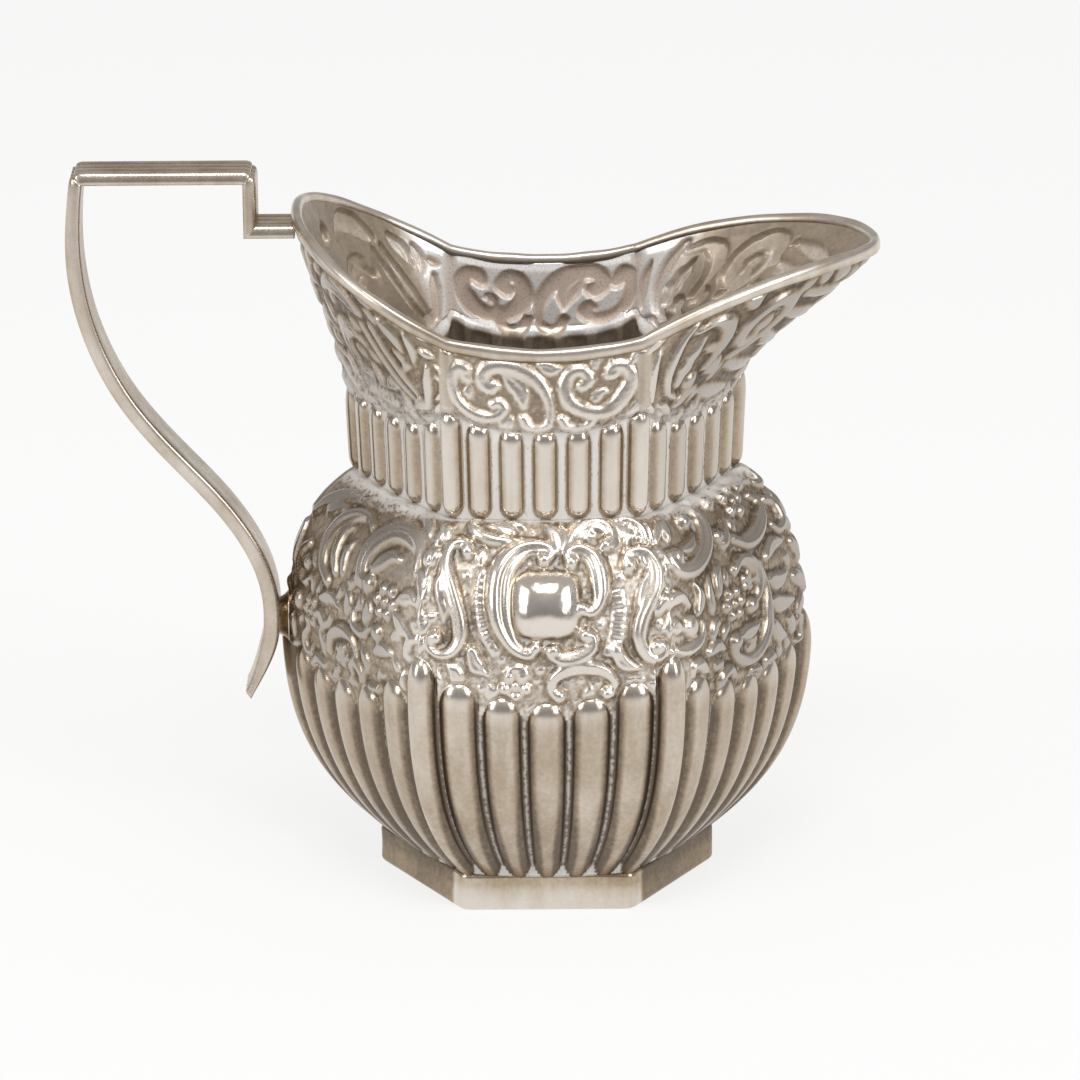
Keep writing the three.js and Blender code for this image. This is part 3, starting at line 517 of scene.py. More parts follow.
BELLY_FRONT = {
    pillow: [((0, 12.4), 4.75, 4.8, 2.05)],
    scroll: [
        ([(-0.2, 6.5), (0.7, 5.4), (-0.9, 4.6), (-3.6, 5.3), (-5.8, 7.9), (-6.4, 11.5), (-6, 15),
          (-4.4, 17.9), (-2.4, 19), (-1.4, 18)], 3, 1.35, 0.5, (0.5, 0.5)),
        ([(3.3, 6.8), (3, 5.7), (4.6, 5.1), (6.4, 6.4), (7.2, 8.8), (7.3, 11.4), (6.5, 13.2),
          (5.2, 13.5), (4.8, 12.6)], 2.4, 1.3, 0.45),
        ([(5.2, 16.5), (6.2, 16.8), (6, 18.3), (4.2, 19.4), (2, 19.7), (0.5, 19.1), (0.3, 18.2),
          (1, 18.2)], 1.9, 1.2, 0.35),
        ([(2.6, 5), (4.2, 2.3), (6.6, 1.1), (8.6, 2.2), (9, 4.2),
          (8, 4.7)], 2.5, 1.2, 0, (0.35, 0.6), 3),
        ([(-2.8, 3.5), (-5.5, 3.8), (-8, 3.3), (-9.6, 2.3), (-9.8, 1.1),
          (-8.7, 0.7)], 1.7, 1, 0, (0.3, 0.6)),
        ([(-10.4, 5.3), (-10.2, 4.4), (-11.4, 4), (-12.9, 4.8), (-13.6, 7), (-13.1, 9.5), (-12.3, 12),
          (-11.6, 14.6), (-11.6, 17), (-12.8, 18.8), (-14.6, 19.2), (-16.1, 18.3), (-16, 16.8),
          (-15, 16.5)], 2.1, 1.3, 0.35),
        ([(11.3, 7.4), (10.8, 6.3), (12, 5.6), (13.8, 5.9), (15.3, 7.8), (15.3, 10.2), (14.1, 12.4),
          (13, 14.6), (12.6, 17), (13.4, 19.3), (15.2, 20.2), (16.5, 19), (15.8, 17.8),
          (14.9, 18.2)], 2.1, 1.3, 0.35),
        ([(1.6, 24.9), (0.7, 24.1), (0.9, 22.4), (2.8, 21.1), (5.4, 20.8), (7.8, 21.4), (9.1, 23),
          (8.9, 24.6), (8, 24.8)], 1.9, 1.2, 0.45),
    ],
    fringe: [
        ([(-5.8, 7.9), (-6.4, 11.5), (-6, 15), (-4.4, 17.9)], 1.6, 3.4, 0.8, 0.75),
        ([(7.6, 10.6), (8, 13.5), (7.6, 16.5), (6.6, 19)], -3.2, -0.6, 0.85, 0.65),
    ],
    leaf: [
        ([(1.6, 5.2), (1.1, 3), (-0.5, 1)], 1.9, 1), ([(1.9, 5), (2.3, 2.8), (1.7, 0.6)], 1.4, 0.8),
        ([(3.2, 4.9), (5, 3.3), (7, 3.1)], 1.2, 0.8),
        ([(-4.2, 2.5), (-6.4, 1.8), (-8.2, 1.5)], 1.3, 0.8),
        ([(-3, 1.6), (-4.8, 0.9), (-6.8, 0.5)], 1.3, 0.7),
        ([(-13.3, 7.6), (-14.5, 10), (-14.3, 13.6)], 1.6, 0.9),
        ([(-12.2, 11), (-13.6, 13), (-13.9, 15.2)], 1.3, 0.8),
        ([(14.2, 8), (13.4, 10.4), (12, 13)], 1.5, 0.85),
        ([(9.2, 18.2), (10.4, 20.4), (13.2, 21.4)], 2, 1),
        ([(-10, 18.6), (-9.3, 20.6), (-7.3, 22.2)], 2.5, 1.1, 2),
        ([(-2.4, 21.9), (-3.4, 21.1), (-5.4, 20.9)], 1.3, 0.8),
        ([(9.9, 1), (11, 4), (10.2, 6)], 1.2, 0.7),
    ],
    flower: [((-4.1, 23.4), 2.3, 5, 1, math.pi / 2), ((12.4, 2.6), 1.6, 5, 0.8)],
    bead: [
        ((-0.2, 6.4), 1, 1.2), ((-1.4, 18.1), 0.9, 1.1), ((3.4, 6.8), 1, 1.2), ((5, 13), 0.9, 1.1),
        ((5.2, 16.5), 0.95, 1.1), ((1, 18.5), 0.9, 1.1), ((8, 4.5), 1, 1.15), ((-9.1, 2.4), 0.9, 1),
        ((-10.6, 5.3), 1, 1.15), ((-15, 16.9), 1.05, 1.15), ((11.3, 7.4), 1.05, 1.15),
        ((15, 18.4), 1, 1.15), ((9.5, 18.8), 1, 1.05), ((1.7, 24.9), 1, 1.1), ((8.1, 24.6), 0.9, 1.1),
    ],
}

BELLY_HANDLE = {
    scroll: [
        ([(4.6, 13), (2.7, 12.3), (2.3, 9.6), (3.7, 6.7), (6.6, 4.7), (10, 4.7), (12.8, 6.4),
          (14, 9.2)], 3.4, 1.35, 0, (0.6, 0.3), 4),
        ([(-5.4, 15.2), (-7.5, 13.6), (-8.1, 10.8), (-6.8, 7.6), (-4, 5.4), (-1, 4.8),
          (1, 5.8)], 2.5, 1.25, 0.45),
        ([(-3.2, 24.6), (-2.6, 22.2), (0, 20.8), (2.8, 21.3), (4, 23.2)], 1.7, 1.1, 0.4),
        ([(2.6, 17.2), (3.1, 19.1), (5.4, 19.7), (7, 18.4)], 1.5, 1),
        ([(-13, 12), (-14.6, 13.4), (-14.4, 16), (-12.2, 17.2), (-10.4, 16)], 1.9, 1.1, 0.35),
        ([(16.8, 4.4), (15.2, 2.6), (13.2, 1.6)], 1.5, 0.9),
    ],
    leaf: [
        ([(5, 10.8), (7.4, 8.4), (10.4, 8.2)], 2, 1),
        ([(-3.8, 13.6), (-5.2, 11), (-4.6, 8.2), (-2.4, 6.6)], 1.9, 1),
        ([(-2, 13.2), (-2.6, 10.6), (-1.2, 8.2)], 1.5, 0.8),
        ([(-15.4, 8), (-13, 5.8), (-9.5, 4), (-5, 3.2), (-2, 3.4)], 2.2, 1),
        ([(-11.6, 7), (-8.6, 5.6), (-5.6, 5)], 1.5, 0.8),
        ([(12.4, 13.2), (14.6, 12.4), (16.6, 13.2)], 2, 0.9),
        ([(12.2, 15.4), (14.4, 16.8), (17, 17.2)], 1.9, 0.9),
        ([(-6.6, 18), (-3.4, 17.2), (-0.4, 18.2)], 1.8, 0.9),
        ([(-6, 22.6), (-5, 24), (-4.4, 26)], 1.5, 0.8),
        ([(-16.6, 10), (-17.4, 13), (-17, 16.6)], 1.8, 0.9),
        ([(8.6, 21.4), (10.6, 20.6), (13, 20.8)], 1.7, 0.9),
        ([(5.6, 22.2), (6.6, 23.6), (6.8, 25.2)], 1.5, 0.8), ([(0, 3), (2, 1.8), (5, 1.4)], 1.5, 0.8),
        ([(12.6, 3.6), (10.6, 2), (8, 1.2)], 1.5, 0.8), ([(15, 9), (16.6, 11), (16.8, 13.4)], 1.8, 0.9),
    ],
    flower: [((9.4, 14.2), 2.7, 6, 1.1), ((0.3, 24.2), 1.7, 5, 0.9), ((-9.2, 20.6), 2.4, 6, 1)],
    bead: [
        ((4.9, 12.7), 1.2, 1.2), ((1, 13.7), 0.9, 1), ((8.6, 18.8), 1.1, 1), ((-12.6, 14.6), 1.1, 1),
        ((-14.2, 20.4), 1.4, 1), ((15.4, 6.4), 1.3, 1.1),
    ],
}

BELLY_SPOUT = {
    scroll: [
        ([(-12.6, 7.2), (-13.9, 7), (-13.4, 9), (-11, 9.6), (-8, 8.8), (-5.6, 7), (-4.1, 4.4),
          (-5, 2.3), (-7, 2.2), (-7.3, 3.5)], 2.4, 1.3, 0.45),
        ([(-2.6, 7), (-2, 8.4), (-0.7, 7.2), (0.4, 5.2)], 1.6, 1),
        ([(0.6, 8.3), (3, 9.6), (6.4, 9.4), (9.6, 7.8), (11, 5.8), (9.6, 4.4)], 2.3, 1.2, 0.4),
        ([(-1.5, 12.2), (0.4, 11.4), (2.6, 12.4), (3.4, 14.6), (2.6, 16.8),
          (0.8, 17.7)], 2.2, 1.2, 0.4),
        ([(-4.6, 21.4), (-4.2, 23.5), (-1.4, 25), (1.8, 24.4), (4.2, 22), (4.9, 18.6), (5.1, 15.5),
          (4.5, 12.6)], 1.9, 1.2, 0.4),
        ([(-19.4, 13.6), (-17.4, 12.4), (-15, 12.5), (-13.5, 14)], 1.8, 1.1, 0.4),
        ([(-18.4, 19.2), (-15.6, 19.7), (-12.6, 18.9), (-11.1, 16.9)], 1.7, 1.1, 0.4),
        ([(13, 6), (15.2, 7.2), (15.4, 9.8), (13.4, 10.6), (12, 9.4)], 1.7, 1),
    ],
    leaf: [
        ([(-11, 6.8), (-8.8, 6.6), (-6.4, 5)], 1.5, 0.9), ([(-2.6, 21), (0, 21.2), (2.6, 20.4)], 2, 1),
        ([(-1.6, 23.4), (0.4, 23), (2, 22)], 1.2, 0.7),
        ([(6.6, 15.8), (9, 16.8), (12.6, 16.2)], 2.2, 1),
        ([(6.4, 18.8), (9.5, 20.2), (14.2, 20.6)], 2.1, 1),
        ([(6.4, 22.2), (8.4, 24.2), (11, 25.2)], 2, 0.9),
        ([(14.4, 17.6), (16.8, 18.8), (18.6, 21)], 1.9, 0.9),
        ([(-12, 15.4), (-10.6, 13.4), (-11.2, 11.2)], 1.6, 0.9),
        ([(-6.6, 14.2), (-5.9, 11.8), (-4.4, 10.2)], 1.8, 0.9),
        ([(-8.6, 16), (-8.4, 13), (-7.4, 11)], 1.5, 0.8),
        ([(-9.4, 19.4), (-8.2, 17.8), (-7.2, 18.6)], 1.6, 0.8),
        ([(-10.6, 21.4), (-8.4, 21), (-6.4, 22.2)], 1.7, 0.9),
        ([(-12, 4.6), (-11.2, 2.4), (-9.4, 1.4)], 1.6, 0.8),
        ([(8.6, 2.8), (11, 2.2), (13.4, 3.4)], 1.7, 0.8),
        ([(7.2, 12.8), (10, 11.8), (14, 12.4)], 1.9, 0.9),
        ([(16, 13), (17.4, 14.6), (17.2, 16.6)], 1.7, 0.8),
    ],
    flower: [((5, 3.9), 2.5, 5, 1.1), ((-3.5, 16.4), 2.5, 6, 1.1), ((0.9, 14.4), 1.4, 5, 0.9)],
    bead: [
        ((-12.5, 7.3), 1.2, 1.2), ((-7.2, 3.4), 1.1, 1.15), ((-2.6, 7), 1, 1.1),
        ((0.8, 17.8), 1.1, 1.1), ((-4, 21.6), 1.1, 1.1), ((-14.2, 16.7), 1.5, 1.1),
        ((0, 2.4), 1.2, 0.9),
    ],
}

# On the neck, across from the left corner of the face and down from the rim
NECK_FRONT = {
    scroll: [
        ([(2.8, 4.6), (2, 2.9), (0.9, 4.4), (0.8, 6.8), (2, 9.2), (4.4, 10.2), (6.8, 9.8), (8.1, 8.4),
          (7.3, 7.4), (6.5, 8.1)], 1.8, 0.95, 0, (0.9, 0.6)),
        ([(6.7, 4.9), (6, 5.6), (5, 4.7), (5.3, 2.9), (7, 1.9), (9.4, 2), (11.8, 3.2), (13.4, 5.2),
          (14.2, 7.6), (14.2, 9.8)], 2.2, 1, 0, (0.7, 0.45)),
        ([(18.7, 4.9), (19.6, 4), (18.6, 2.5), (17, 2.9), (16.3, 5), (17, 7.4), (19.4, 9), (22.4, 9.4),
          (24.7, 7.8), (25.4, 5.2), (24.6, 3), (23, 2.6), (22.5, 3.8)], 2, 1, 0, (0.8, 0.8)),
        ([(21, 9), (23.6, 8.2), (24.8, 6.2), (24.8, 4.2)], 2.4, 1),
        ([(10.7, 9.6), (11.6, 11.3), (13, 11.4), (13.9, 10.6)], 1.4, 0.95, 0, (0.9, 0.9)),
        ([(15.7, 9.7), (16.8, 11.4), (18.6, 11.5), (19.6, 10.6)], 1.4, 0.95, 0, (0.9, 0.9)),
    ],
    leaf: [
        ([(8.4, 3.4), (10.2, 5.4), (10.8, 8.4)], 2.4, 0.8),
        ([(20.2, 7.4), (21.2, 6.2), (22.4, 6.6)], 1.4, 0.7),
    ],
    bead: [((2.3, 3.3), 1.2, 1), ((18.5, 4.7), 0.8, 1), ((22.9, 3.7), 1, 1)],
}

NECK_HANDLE = {
    scroll: [
        ([(20.2, 5.4), (21.4, 7.6), (23.2, 10.6), (25, 13.4), (27, 15.6)], 1.2, 0.9),
        ([(22.2, 4.6), (23.6, 7.2), (25.2, 10), (26.8, 12.8), (28.2, 15)], 1.2, 0.9),
        ([(31, 7.6), (30.6, 11), (30.3, 14.6), (29.8, 17)], 1.6, 1, 0, (0.5, 0.9)),
        ([(18.6, 9), (16, 8), (13.6, 9.2), (12.8, 11.8), (14.2, 14),
          (16.6, 14.4)], 2.6, 0.95, 0, (0.6, 0.4), 3),
        ([(10.4, 10.2), (8, 9), (5.8, 10.6), (6, 13.4), (8.6, 14.4)], 1.9, 0.9),
    ],
    leaf: [
        ([(24.4, 2.6), (26.2, 4.2), (27.4, 6.8)], 2, 0.85),
        ([(28.4, 2.4), (29, 5.2), (28.7, 8.4)], 1.5, 0.8),
        ([(20.4, 3.6), (17.4, 2.4), (14, 2.8), (11.4, 4.8)], 2.4, 0.9),
        ([(5.4, 6.6), (3, 7.6), (1.2, 10.6)], 1.9, 0.8),
        ([(9, 17.6), (5.6, 16.4), (2.4, 14.2)], 2, 0.8),
        ([(21.6, 17.4), (17.6, 16.6), (13, 17.2)], 1.8, 0.6),
    ],
    bead: [
        ((28.3, 16.3), 1.4, 1), ((31.2, 4.6), 1.1, 0.8), ((8, 11.8), 1.1, 0.8), ((8.4, 4.2), 1.3, 0.8),
    ],
}

NECK_SPOUT = {
    scroll: [
        ([(5.8, 1.4), (4.8, 3.6), (4.4, 7), (4.5, 10.4), (5.6, 13.2),
          (7.4, 13.9)], 1.3, 0.95, 0, (0.7, 0.8)),
        ([(6.6, 3), (8.8, 2.5), (11, 4.4), (12, 7.4), (11.6, 10.2)], 1.7, 0.95, 0, (0.6, 0.6)),
        ([(17.8, 7.4), (16.2, 7.9), (14.8, 6.6), (14.6, 4.4), (16.4, 2.7), (18.8, 3), (20.1, 5.2),
          (19.4, 8), (16.8, 9.8)], 1.8, 1, 0, (0.8, 0.6)),
        ([(21.6, 3), (26, 3.6), (31, 4)], 1.2, 0.85), ([(21.8, 5.4), (26.5, 6.4), (32, 7)], 1.3, 0.85),
        ([(21.6, 8), (26, 9.6), (31.5, 10.4)], 1.4, 0.85),
        ([(18.6, 11.4), (24, 12.6), (30, 13.2)], 1.4, 0.85),
    ],
    leaf: [
        ([(7, 11.8), (7.4, 8), (8.2, 4.4)], 2.3, 0.75, 3),
        ([(8.4, 15.2), (10.6, 13.6), (13, 13.2)], 1.8, 0.85),
        ([(14.4, 14), (19, 15), (26, 15.6)], 1.8, 0.8), ([(1.8, 15), (1.6, 9), (2.2, 3)], 1.5, 0.8),
        ([(7.2, 16.4), (5.2, 15.4), (3.2, 15.8)], 1.5, 0.7),
    ],
    bead: [((9.6, 11.8), 1.3, 0.95), ((13.4, 10.4), 1.3, 1), ((17.3, 5.6), 1.2, 1)],
}

# Plates, in millimetres
BELLY_AREA = (-25.0, 25.0, -3.0, 33.0)
BELLY_FILL_HALF_WIDTH = 18.0
BELLY_FILL_BOTTOM = 29.0
BELLY_PLATE_REACH = 24.5
NECK_PLATES = {"front": (27.0, 12.0), "handle": (34.0, 20.0), "spout": (38.0, 18.0)}
NECK_SEED = 10
PRESSED_DEPTH = 1.0
PRESSED_FULLNESS = 1.6
GROUND_ROUGHNESS = 0.04
GROUND_GRAIN = 0.1
GROUND_LIMIT = 0.5
ORNAMENT_SOFTNESS = 0.15
CAVITY_REACH = 0.7
# Painted shade on the steep flanks of the ornament, so its crests read bright
FLANK_SHADE = 0.2
STEEP_FLANK = 1.6


def stamp(plate, design):
    for kind, rows in design.items():
        for row in rows:
            kind(plate, *row)
    return plate


def finish_plate(plate, seed):
    """Softens the ornament, beats a matted ground round it, and finds its recesses and steep flanks,
    which later take patina and painted shade.
    """
    noise = np.random.default_rng(seed).normal(size=plate.height.shape)
    matting = blurred(noise, GROUND_GRAIN)
    matting *= GROUND_ROUGHNESS / matting.std()
    on_ground = 1 - smooth_step(plate.height / GROUND_LIMIT)
    plate.height = blurred(plate.height, ORNAMENT_SOFTNESS) + matting * (0.12 + 0.88 * on_ground)
    slope = np.hypot(*np.gradient(blurred(plate.height, ORNAMENT_SOFTNESS), 1 / PLATE_DENSITY))
    plate.cavity = blurred(plate.height, CAVITY_REACH) - plate.height
    # painted shade: steeper flanks count as darker, on top of the patina of the recesses
    plate.cavity += FLANK_SHADE * np.clip(slope / STEEP_FLANK, 0, 1)
    return plate


def draw_plates():
    """The plates of the belly and of the neck, by the name of their design."""
    belly = {}
    for seed, (name, design, gain, fill_top, radii) in enumerate((
        ("front", BELLY_FRONT, 1.15, 0.9, (1.6, 1.1, 0.8)),
        ("handle", BELLY_HANDLE, 0.85, 13.0, (2.2, 1.6, 1.1)),
        ("spout", BELLY_SPOUT, 1.1, 0.9, (2.2, 1.6, 1.1)),
    )):
        plate = stamp(Plate(*BELLY_AREA), design)
        fill_ground(plate, seed, -BELLY_FILL_HALF_WIDTH, BELLY_FILL_HALF_WIDTH, fill_top,
                    BELLY_FILL_BOTTOM, radii)
        plate.height *= gain
        belly[name] = finish_plate(plate, seed)
    neck = {}
    for seed, (name, design, gain) in enumerate((
        ("front", NECK_FRONT, 0.7),
        ("handle", NECK_HANDLE, 0.8),
        ("spout", NECK_SPOUT, 0.95),
    ), NECK_SEED):
        width, depth = NECK_PLATES[name]
        area = -3.0, width + 3.0, -2.0, depth + 2.0
        pressed = stamp(Plate(*area, PRESSED_FULLNESS), design)
        plate = stamp(Plate(*area), design)
        plate.pressed = smooth_step((blurred(pressed.height, 0.12) - 0.15) / 0.5)
        fill_ground(plate, seed, 0.6, width - 0.6, 0.8, depth - 0.4, (1.6, 1.1))
        plate.height *= gain
        neck[name] = finish_plate(plate, seed)
    return belly, neck


# Which design each side carries, from the spout round; True where it is mirrored
SIDE_DESIGNS = (
    ("spout", True), ("front", True), ("handle", True),
    ("handle", False), ("front", False), ("spout", False),
)

# On the neck the back repeats the front without mirroring, as its inside shows
NECK_SIDE_DESIGNS = SIDE_DESIGNS[:1] + (("front", False),) + SIDE_DESIGNS[2:]


# Meshes

def grid_normals(points):
    around = np.roll(points, -1, axis=1) - np.roll(points, 1, axis=1)
    upward = np.gradient(points, axis=0)
    normal = np.cross(around, upward)
    return normal / lengths(normal)


def grid_faces(rows, columns, closed_rows):
    last = rows if closed_rows else rows - 1
    row, column = np.meshgrid(np.arange(last), np.arange(columns), indexing="ij")
    above = (row + 1) % rows
    after = (column + 1) % columns
    corners = [row * columns + column, row * columns + after, above * columns + after,
               above * columns + column]
    return np.stack(corners, -1).reshape(-1, 4)


def grid_uv(points):
    """Unrolls a grid that closes both ways into one square, rows up and columns across."""
    rows, columns = points.shape[:2]
    steps = np.linalg.norm(np.roll(points, -1, axis=0) - points, axis=-1).mean(axis=1) + 1e-6
    run = running_total(steps)
    low = run[:-1] / run[-1]
    high = run[1:] / run[-1]
    left = np.arange(columns) / columns
    right = (np.arange(columns) + 1) / columns
    uv = np.empty((rows, columns, 4, 2))
    uv[..., 0, 0] = uv[..., 3, 0] = left
    uv[..., 1, 0] = uv[..., 2, 0] = right
    uv[..., 0, 1] = uv[..., 1, 1] = low[:, None]
    uv[..., 2, 1] = uv[..., 3, 1] = high[:, None]
    return 0.01 + 0.98 * uv.reshape(-1, 2)


def new_piece(name, points, quads, material, nodes, attributes, uv=None, caps=()):
    """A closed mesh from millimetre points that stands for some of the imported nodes."""
    mesh = bpy.data.meshes.new(name)
    points = (np.asarray(points, float).reshape(-1, 3) + AXIS) * MM
    faces = list(map(tuple, quads.tolist())) + [tuple(cap) for cap in caps]
    mesh.from_pydata(points.tolist(), [], faces)
    mesh.polygons.foreach_set("use_smooth", np.ones(len(mesh.polygons), bool))
    for attribute, values in attributes.items():
        layer = mesh.attributes.new(attribute, "FLOAT", "POINT")
        layer.data.foreach_set("value", np.asarray(values, np.float32).ravel())
    if uv is not None:
        layer = mesh.uv_layers.new(name="OFBake")
        layer.data.foreach_set("uv", np.asarray(uv, np.float32).ravel())
    mesh.validate()
    mesh.materials.append(material)
    piece = bpy.data.objects.new(name, mesh)
    bpy.context.scene.collection.objects.link(piece)
    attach(piece, BODY)
    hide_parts(*nodes)


def new_band(name, node, points, material, attributes):
    """A piece that goes right round: rows of points, the last row joined to the first."""
    quads = grid_faces(*points.shape[:2], True)
    new_piece(name, points, quads, material, [node], attributes, grid_uv(points))


def new_length(name, node, rings, material, tarnish):
    """A piece made of rings in a row, with a cap on each end."""
    rows, columns = rings.shape[:2]
    first = list(range(columns))
    last = [(rows - 1) * columns + index for index in first][::-1]
    new_piece(name, rings, grid_faces(rows, columns, False)[:, ::-1], material, [node],
              {"tarnish": tarnish}, caps=[first, last])


def shell_attributes(outside_rows, inside_rows, **pairs):
    """For each attribute, its values outside and then inside a shell of sheet."""
    return {name: np.vstack([np.broadcast_to(outside, (outside_rows, COLUMNS)),
                             np.broadcast_to(inside, (inside_rows, COLUMNS))])
            for name, (outside, inside) in pairs.items()}


# Flutes: rods with round ends

BELLY_ROD_SHARE = 0.85
NECK_ROD_SHARE = 0.73
CORNER_ROD_SHARE = 0.93
ROD_TIP_LENGTH = 1.6
END_ROD_TIP_LENGTH = 2.4
ROD_TIP_FULLNESS = 2.8
ROD_FLATNESS = 0.62

# Painted light on the flutes: the light tongue of each rod is a painted reflection, its darker flanks
# painted shade, its light tip partly rubbed and partly painted highlight, with a dark line along its
# edge
TONGUE_AT_FOOT = 0.18
TONGUE_GROWTH = 0.3
TONGUE_LOW, TONGUE_RISE = 9, 13
ROD_TARNISH = 0.3
FLANK_DARKENING = 0.46
TIP_BRIGHTNESS = 0.25
TIP_LIGHT_RUN = 4.2
EDGE_LINE = 0.3
LOW_BELLY_SHADE = 0.14


def rod_row(turn, below_top, above_bottom, half_pitch, depth, rod_share):
    """Heights of a row of rods, each spot's reach, 1 at a rod's edge, and its place on the tip."""
    count = (turn % SIDES) * FLUTES_PER_SIDE
    flute = np.round(count)
    at_corner = flute % FLUTES_PER_SIDE == 0
    share = np.where(at_corner, CORNER_ROD_SHARE, rod_share)
    across = np.abs(2 * (count - flute)) / share
    at_end = flute % (SIDES // 2 * FLUTES_PER_SIDE) == 0
    tip_length = np.where(at_end, END_ROD_TIP_LENGTH, ROD_TIP_LENGTH) * half_pitch * share
    tip = np.clip(1 - below_top / tip_length, 0, None)
    heel = np.clip(1 - above_bottom / (half_pitch * share), 0, None)
    reach = np.sqrt(across**2 + tip**ROD_TIP_FULLNESS + heel**2)
    at_handle = flute == SIDES // 2 * FLUTES_PER_SIDE
    gain = np.where(at_corner & ~at_handle, CORNER_FLUTE_GAIN, 1.0)
    return depth * gain * np.clip(1 - reach**2, 0, 1) ** ROD_FLATNESS, reach, tip


def rod_tarnish(reach, below_top, height):
    """Colour of the rods: a tongue kept light down each rod, narrowing towards the foot, is a painted
    reflection; the darker flanks are painted shade over tarnished silver; the light tips are partly
    rubbed, partly painted highlight.
    """
    tongue = TONGUE_AT_FOOT + TONGUE_GROWTH * smooth_step((height - TONGUE_LOW) / TONGUE_RISE)
    flank = ROD_TARNISH + FLANK_DARKENING * smooth_step((reach - tongue) / 0.35)
    off_tip = smooth_step((below_top - 0.6) / TIP_LIGHT_RUN)
    flank = flank * (TIP_BRIGHTNESS + (1 - TIP_BRIGHTNESS) * off_tip)
    return flank + EDGE_LINE * np.exp(-(((reach - 1.03) / 0.1) ** 2))


def rod_powder(reach):
    return smooth_step((reach - 1.05) / 0.08)


def flute_centre(turn):
    return np.round((turn % SIDES) * FLUTES_PER_SIDE) / FLUTES_PER_SIDE


def side_relief(plates, side, across_of, down):
    """Height and recess of the ornament on each spot, also where a neighbour's reaches over."""
    height = np.zeros_like(down)
    cavity = np.zeros_like(down)
    for step in (0, -1, 1):
        for index, (design, mirrored) in enumerate(SIDE_DESIGNS):
            chosen = (side + step) % SIDES == index
            across = across_of(step)[chosen]
            plate = plates[design]
            across = -across if mirrored else across
            here = np.where(np.abs(across) < BELLY_PLATE_REACH, plate.read(across, down[chosen]), 0)
            higher = here > height[chosen] if step else np.ones(here.shape, bool)
            height[chosen] = np.where(higher, here, height[chosen])
            recess = plate.read(across, down[chosen], plate.cavity)
            cavity[chosen] = np.where(higher, recess, cavity[chosen])
    return height, cavity


CORNER_ROUNDING = 12


def soften_corners(points, share=1.0):
    """Rounds the upright corners of a grid by averaging along its rows."""
    weights = np.hanning(2 * CORNER_ROUNDING + 3)[1:-1]
    weights /= weights.sum()
    soft = 0.0
    for weight, step in zip(weights, range(-CORNER_ROUNDING, CORNER_ROUNDING + 1)):
        soft = soft + weight * np.roll(points, step, axis=1)
    return points + (soft - points) * share


# Painted shade laid on the four side faces of the bowl and the neck
SIDE_SHADE = 0.12


def painted_side_shade(turn):
    """0 on the front and the back, 1 on the four other faces, which are painted darker and greyer as
    shade for the dimmer room they mirror.
    """
    place = turn % (SIDES / 2)
    beyond = np.maximum(np.maximum(1 - place, place - 2), 0)
    return smooth_step(beyond / 0.3)


def turn_row():
    return np.arange(COLUMNS) / (FLUTES_PER_SIDE * COLUMNS_PER_FLUTE)


# Bowl

BOWL_FLUTE_ROWS = 40
BOWL_BAND_ROWS = 130
BOWL_INSIDE_ROWS = 20
BAND_START = 27.0
SHOULDER_GROUND = 0.4
FOOT_FILLET = 2.4
GROUND_TARNISH = 0.34
BOWL_INSIDE_FOLLOWS = 0.85
BOWL_INSIDE_TARNISH = 0.2


def bowl_relief(turn, height):
    """Height over the flute floor, tarnished tone with painted shade and highlight, residue, ground and
    polish, for each spot of the bowl.
    """
    radius = belly_radius(height)
    width_share = np.where(np.floor(turn % SIDES) % 3 == 1, 2 * BODY_FACE_HALF_WIDTH_SHARE,
                           math.hypot(1 - BODY_FACE_HALF_WIDTH_SHARE, FACE_DISTANCE_SHARE))
    face_width = width_share * radius
    down = belly_run(NECK_CREASE_HEIGHT) - belly_run(height)
    centre_top = belly_flute_top(flute_centre(turn)) + 0.3
    below_top = belly_run(centre_top) - belly_run(height)
    half_width = face_width / FLUTES_PER_SIDE / 2
    depth = BELLY_FLUTE_DEPTH * radius / BELLY_CORNER_RADIUS
    rods, reach, _ = rod_row(turn, below_top, np.full_like(turn, np.inf), half_width, depth,
                             BELLY_ROD_SHARE)
    fillet = 0.9 * depth * smooth_step(1 - belly_run(height) / FOOT_FILLET)
    side = np.floor(turn % SIDES).astype(int)
    along = (turn % SIDES) - side

    def across_of(step):
        return (along - 0.5 - step) * face_width

    ornament, recess = side_relief(BELLY_PLATES, side, across_of, down)
    ornament = (ornament + SHOULDER_GROUND) * smooth_step((down - 0.1) / 0.9)
    ornament = ornament * smooth_step(0.95 - below_top / half_width) * smooth_step((reach - 0.85) / 0.3)
    fluted = rods >= ornament
    ground = np.where(fluted, 0, 1 - smooth_step((ornament - SHOULDER_GROUND) / 0.35))
    side_shade = painted_side_shade(turn)
    # painted shade: the rods darken towards the foot, where the belly turns down over the shaded floor
    low_belly_shade = LOW_BELLY_SHADE * smooth_step((26 - height) / 18)
    on_ornament = GROUND_TARNISH * (0.6 + 0.4 * side_shade) * ground + (1.4 + 0.5 * side_shade) * recess
    tarnish = np.where(fluted, rod_tarnish(reach, below_top, height) + low_belly_shade, on_ornament)
    # painted shade on the side faces
    tarnish += SIDE_SHADE * side_shade * np.where(fluted, 0.5, 1 - 0.8 * ground)
    tarnish = np.clip(tarnish, 0, 1)
    powdered = 0.8 + 3.4 * side_shade
    by_crease = 1 - smooth_step((down - 0.5) / powdered)
    in_recess = np.maximum(0.8 * smooth_step((recess - 0.25) / 0.35), by_crease)
    in_recess = np.maximum(in_recess, 0.45 * (1 - side_shade) * ground)
    residue = np.where(fluted, np.where(fillet > rods, 1.0, 0.7 * rod_powder(reach)), in_recess)
    polish = np.where(fluted, 0.45, smooth_step((ornament - 1.7) / 0.3))
    return np.maximum(np.maximum(rods, ornament), fillet), tarnish, residue, ground, polish


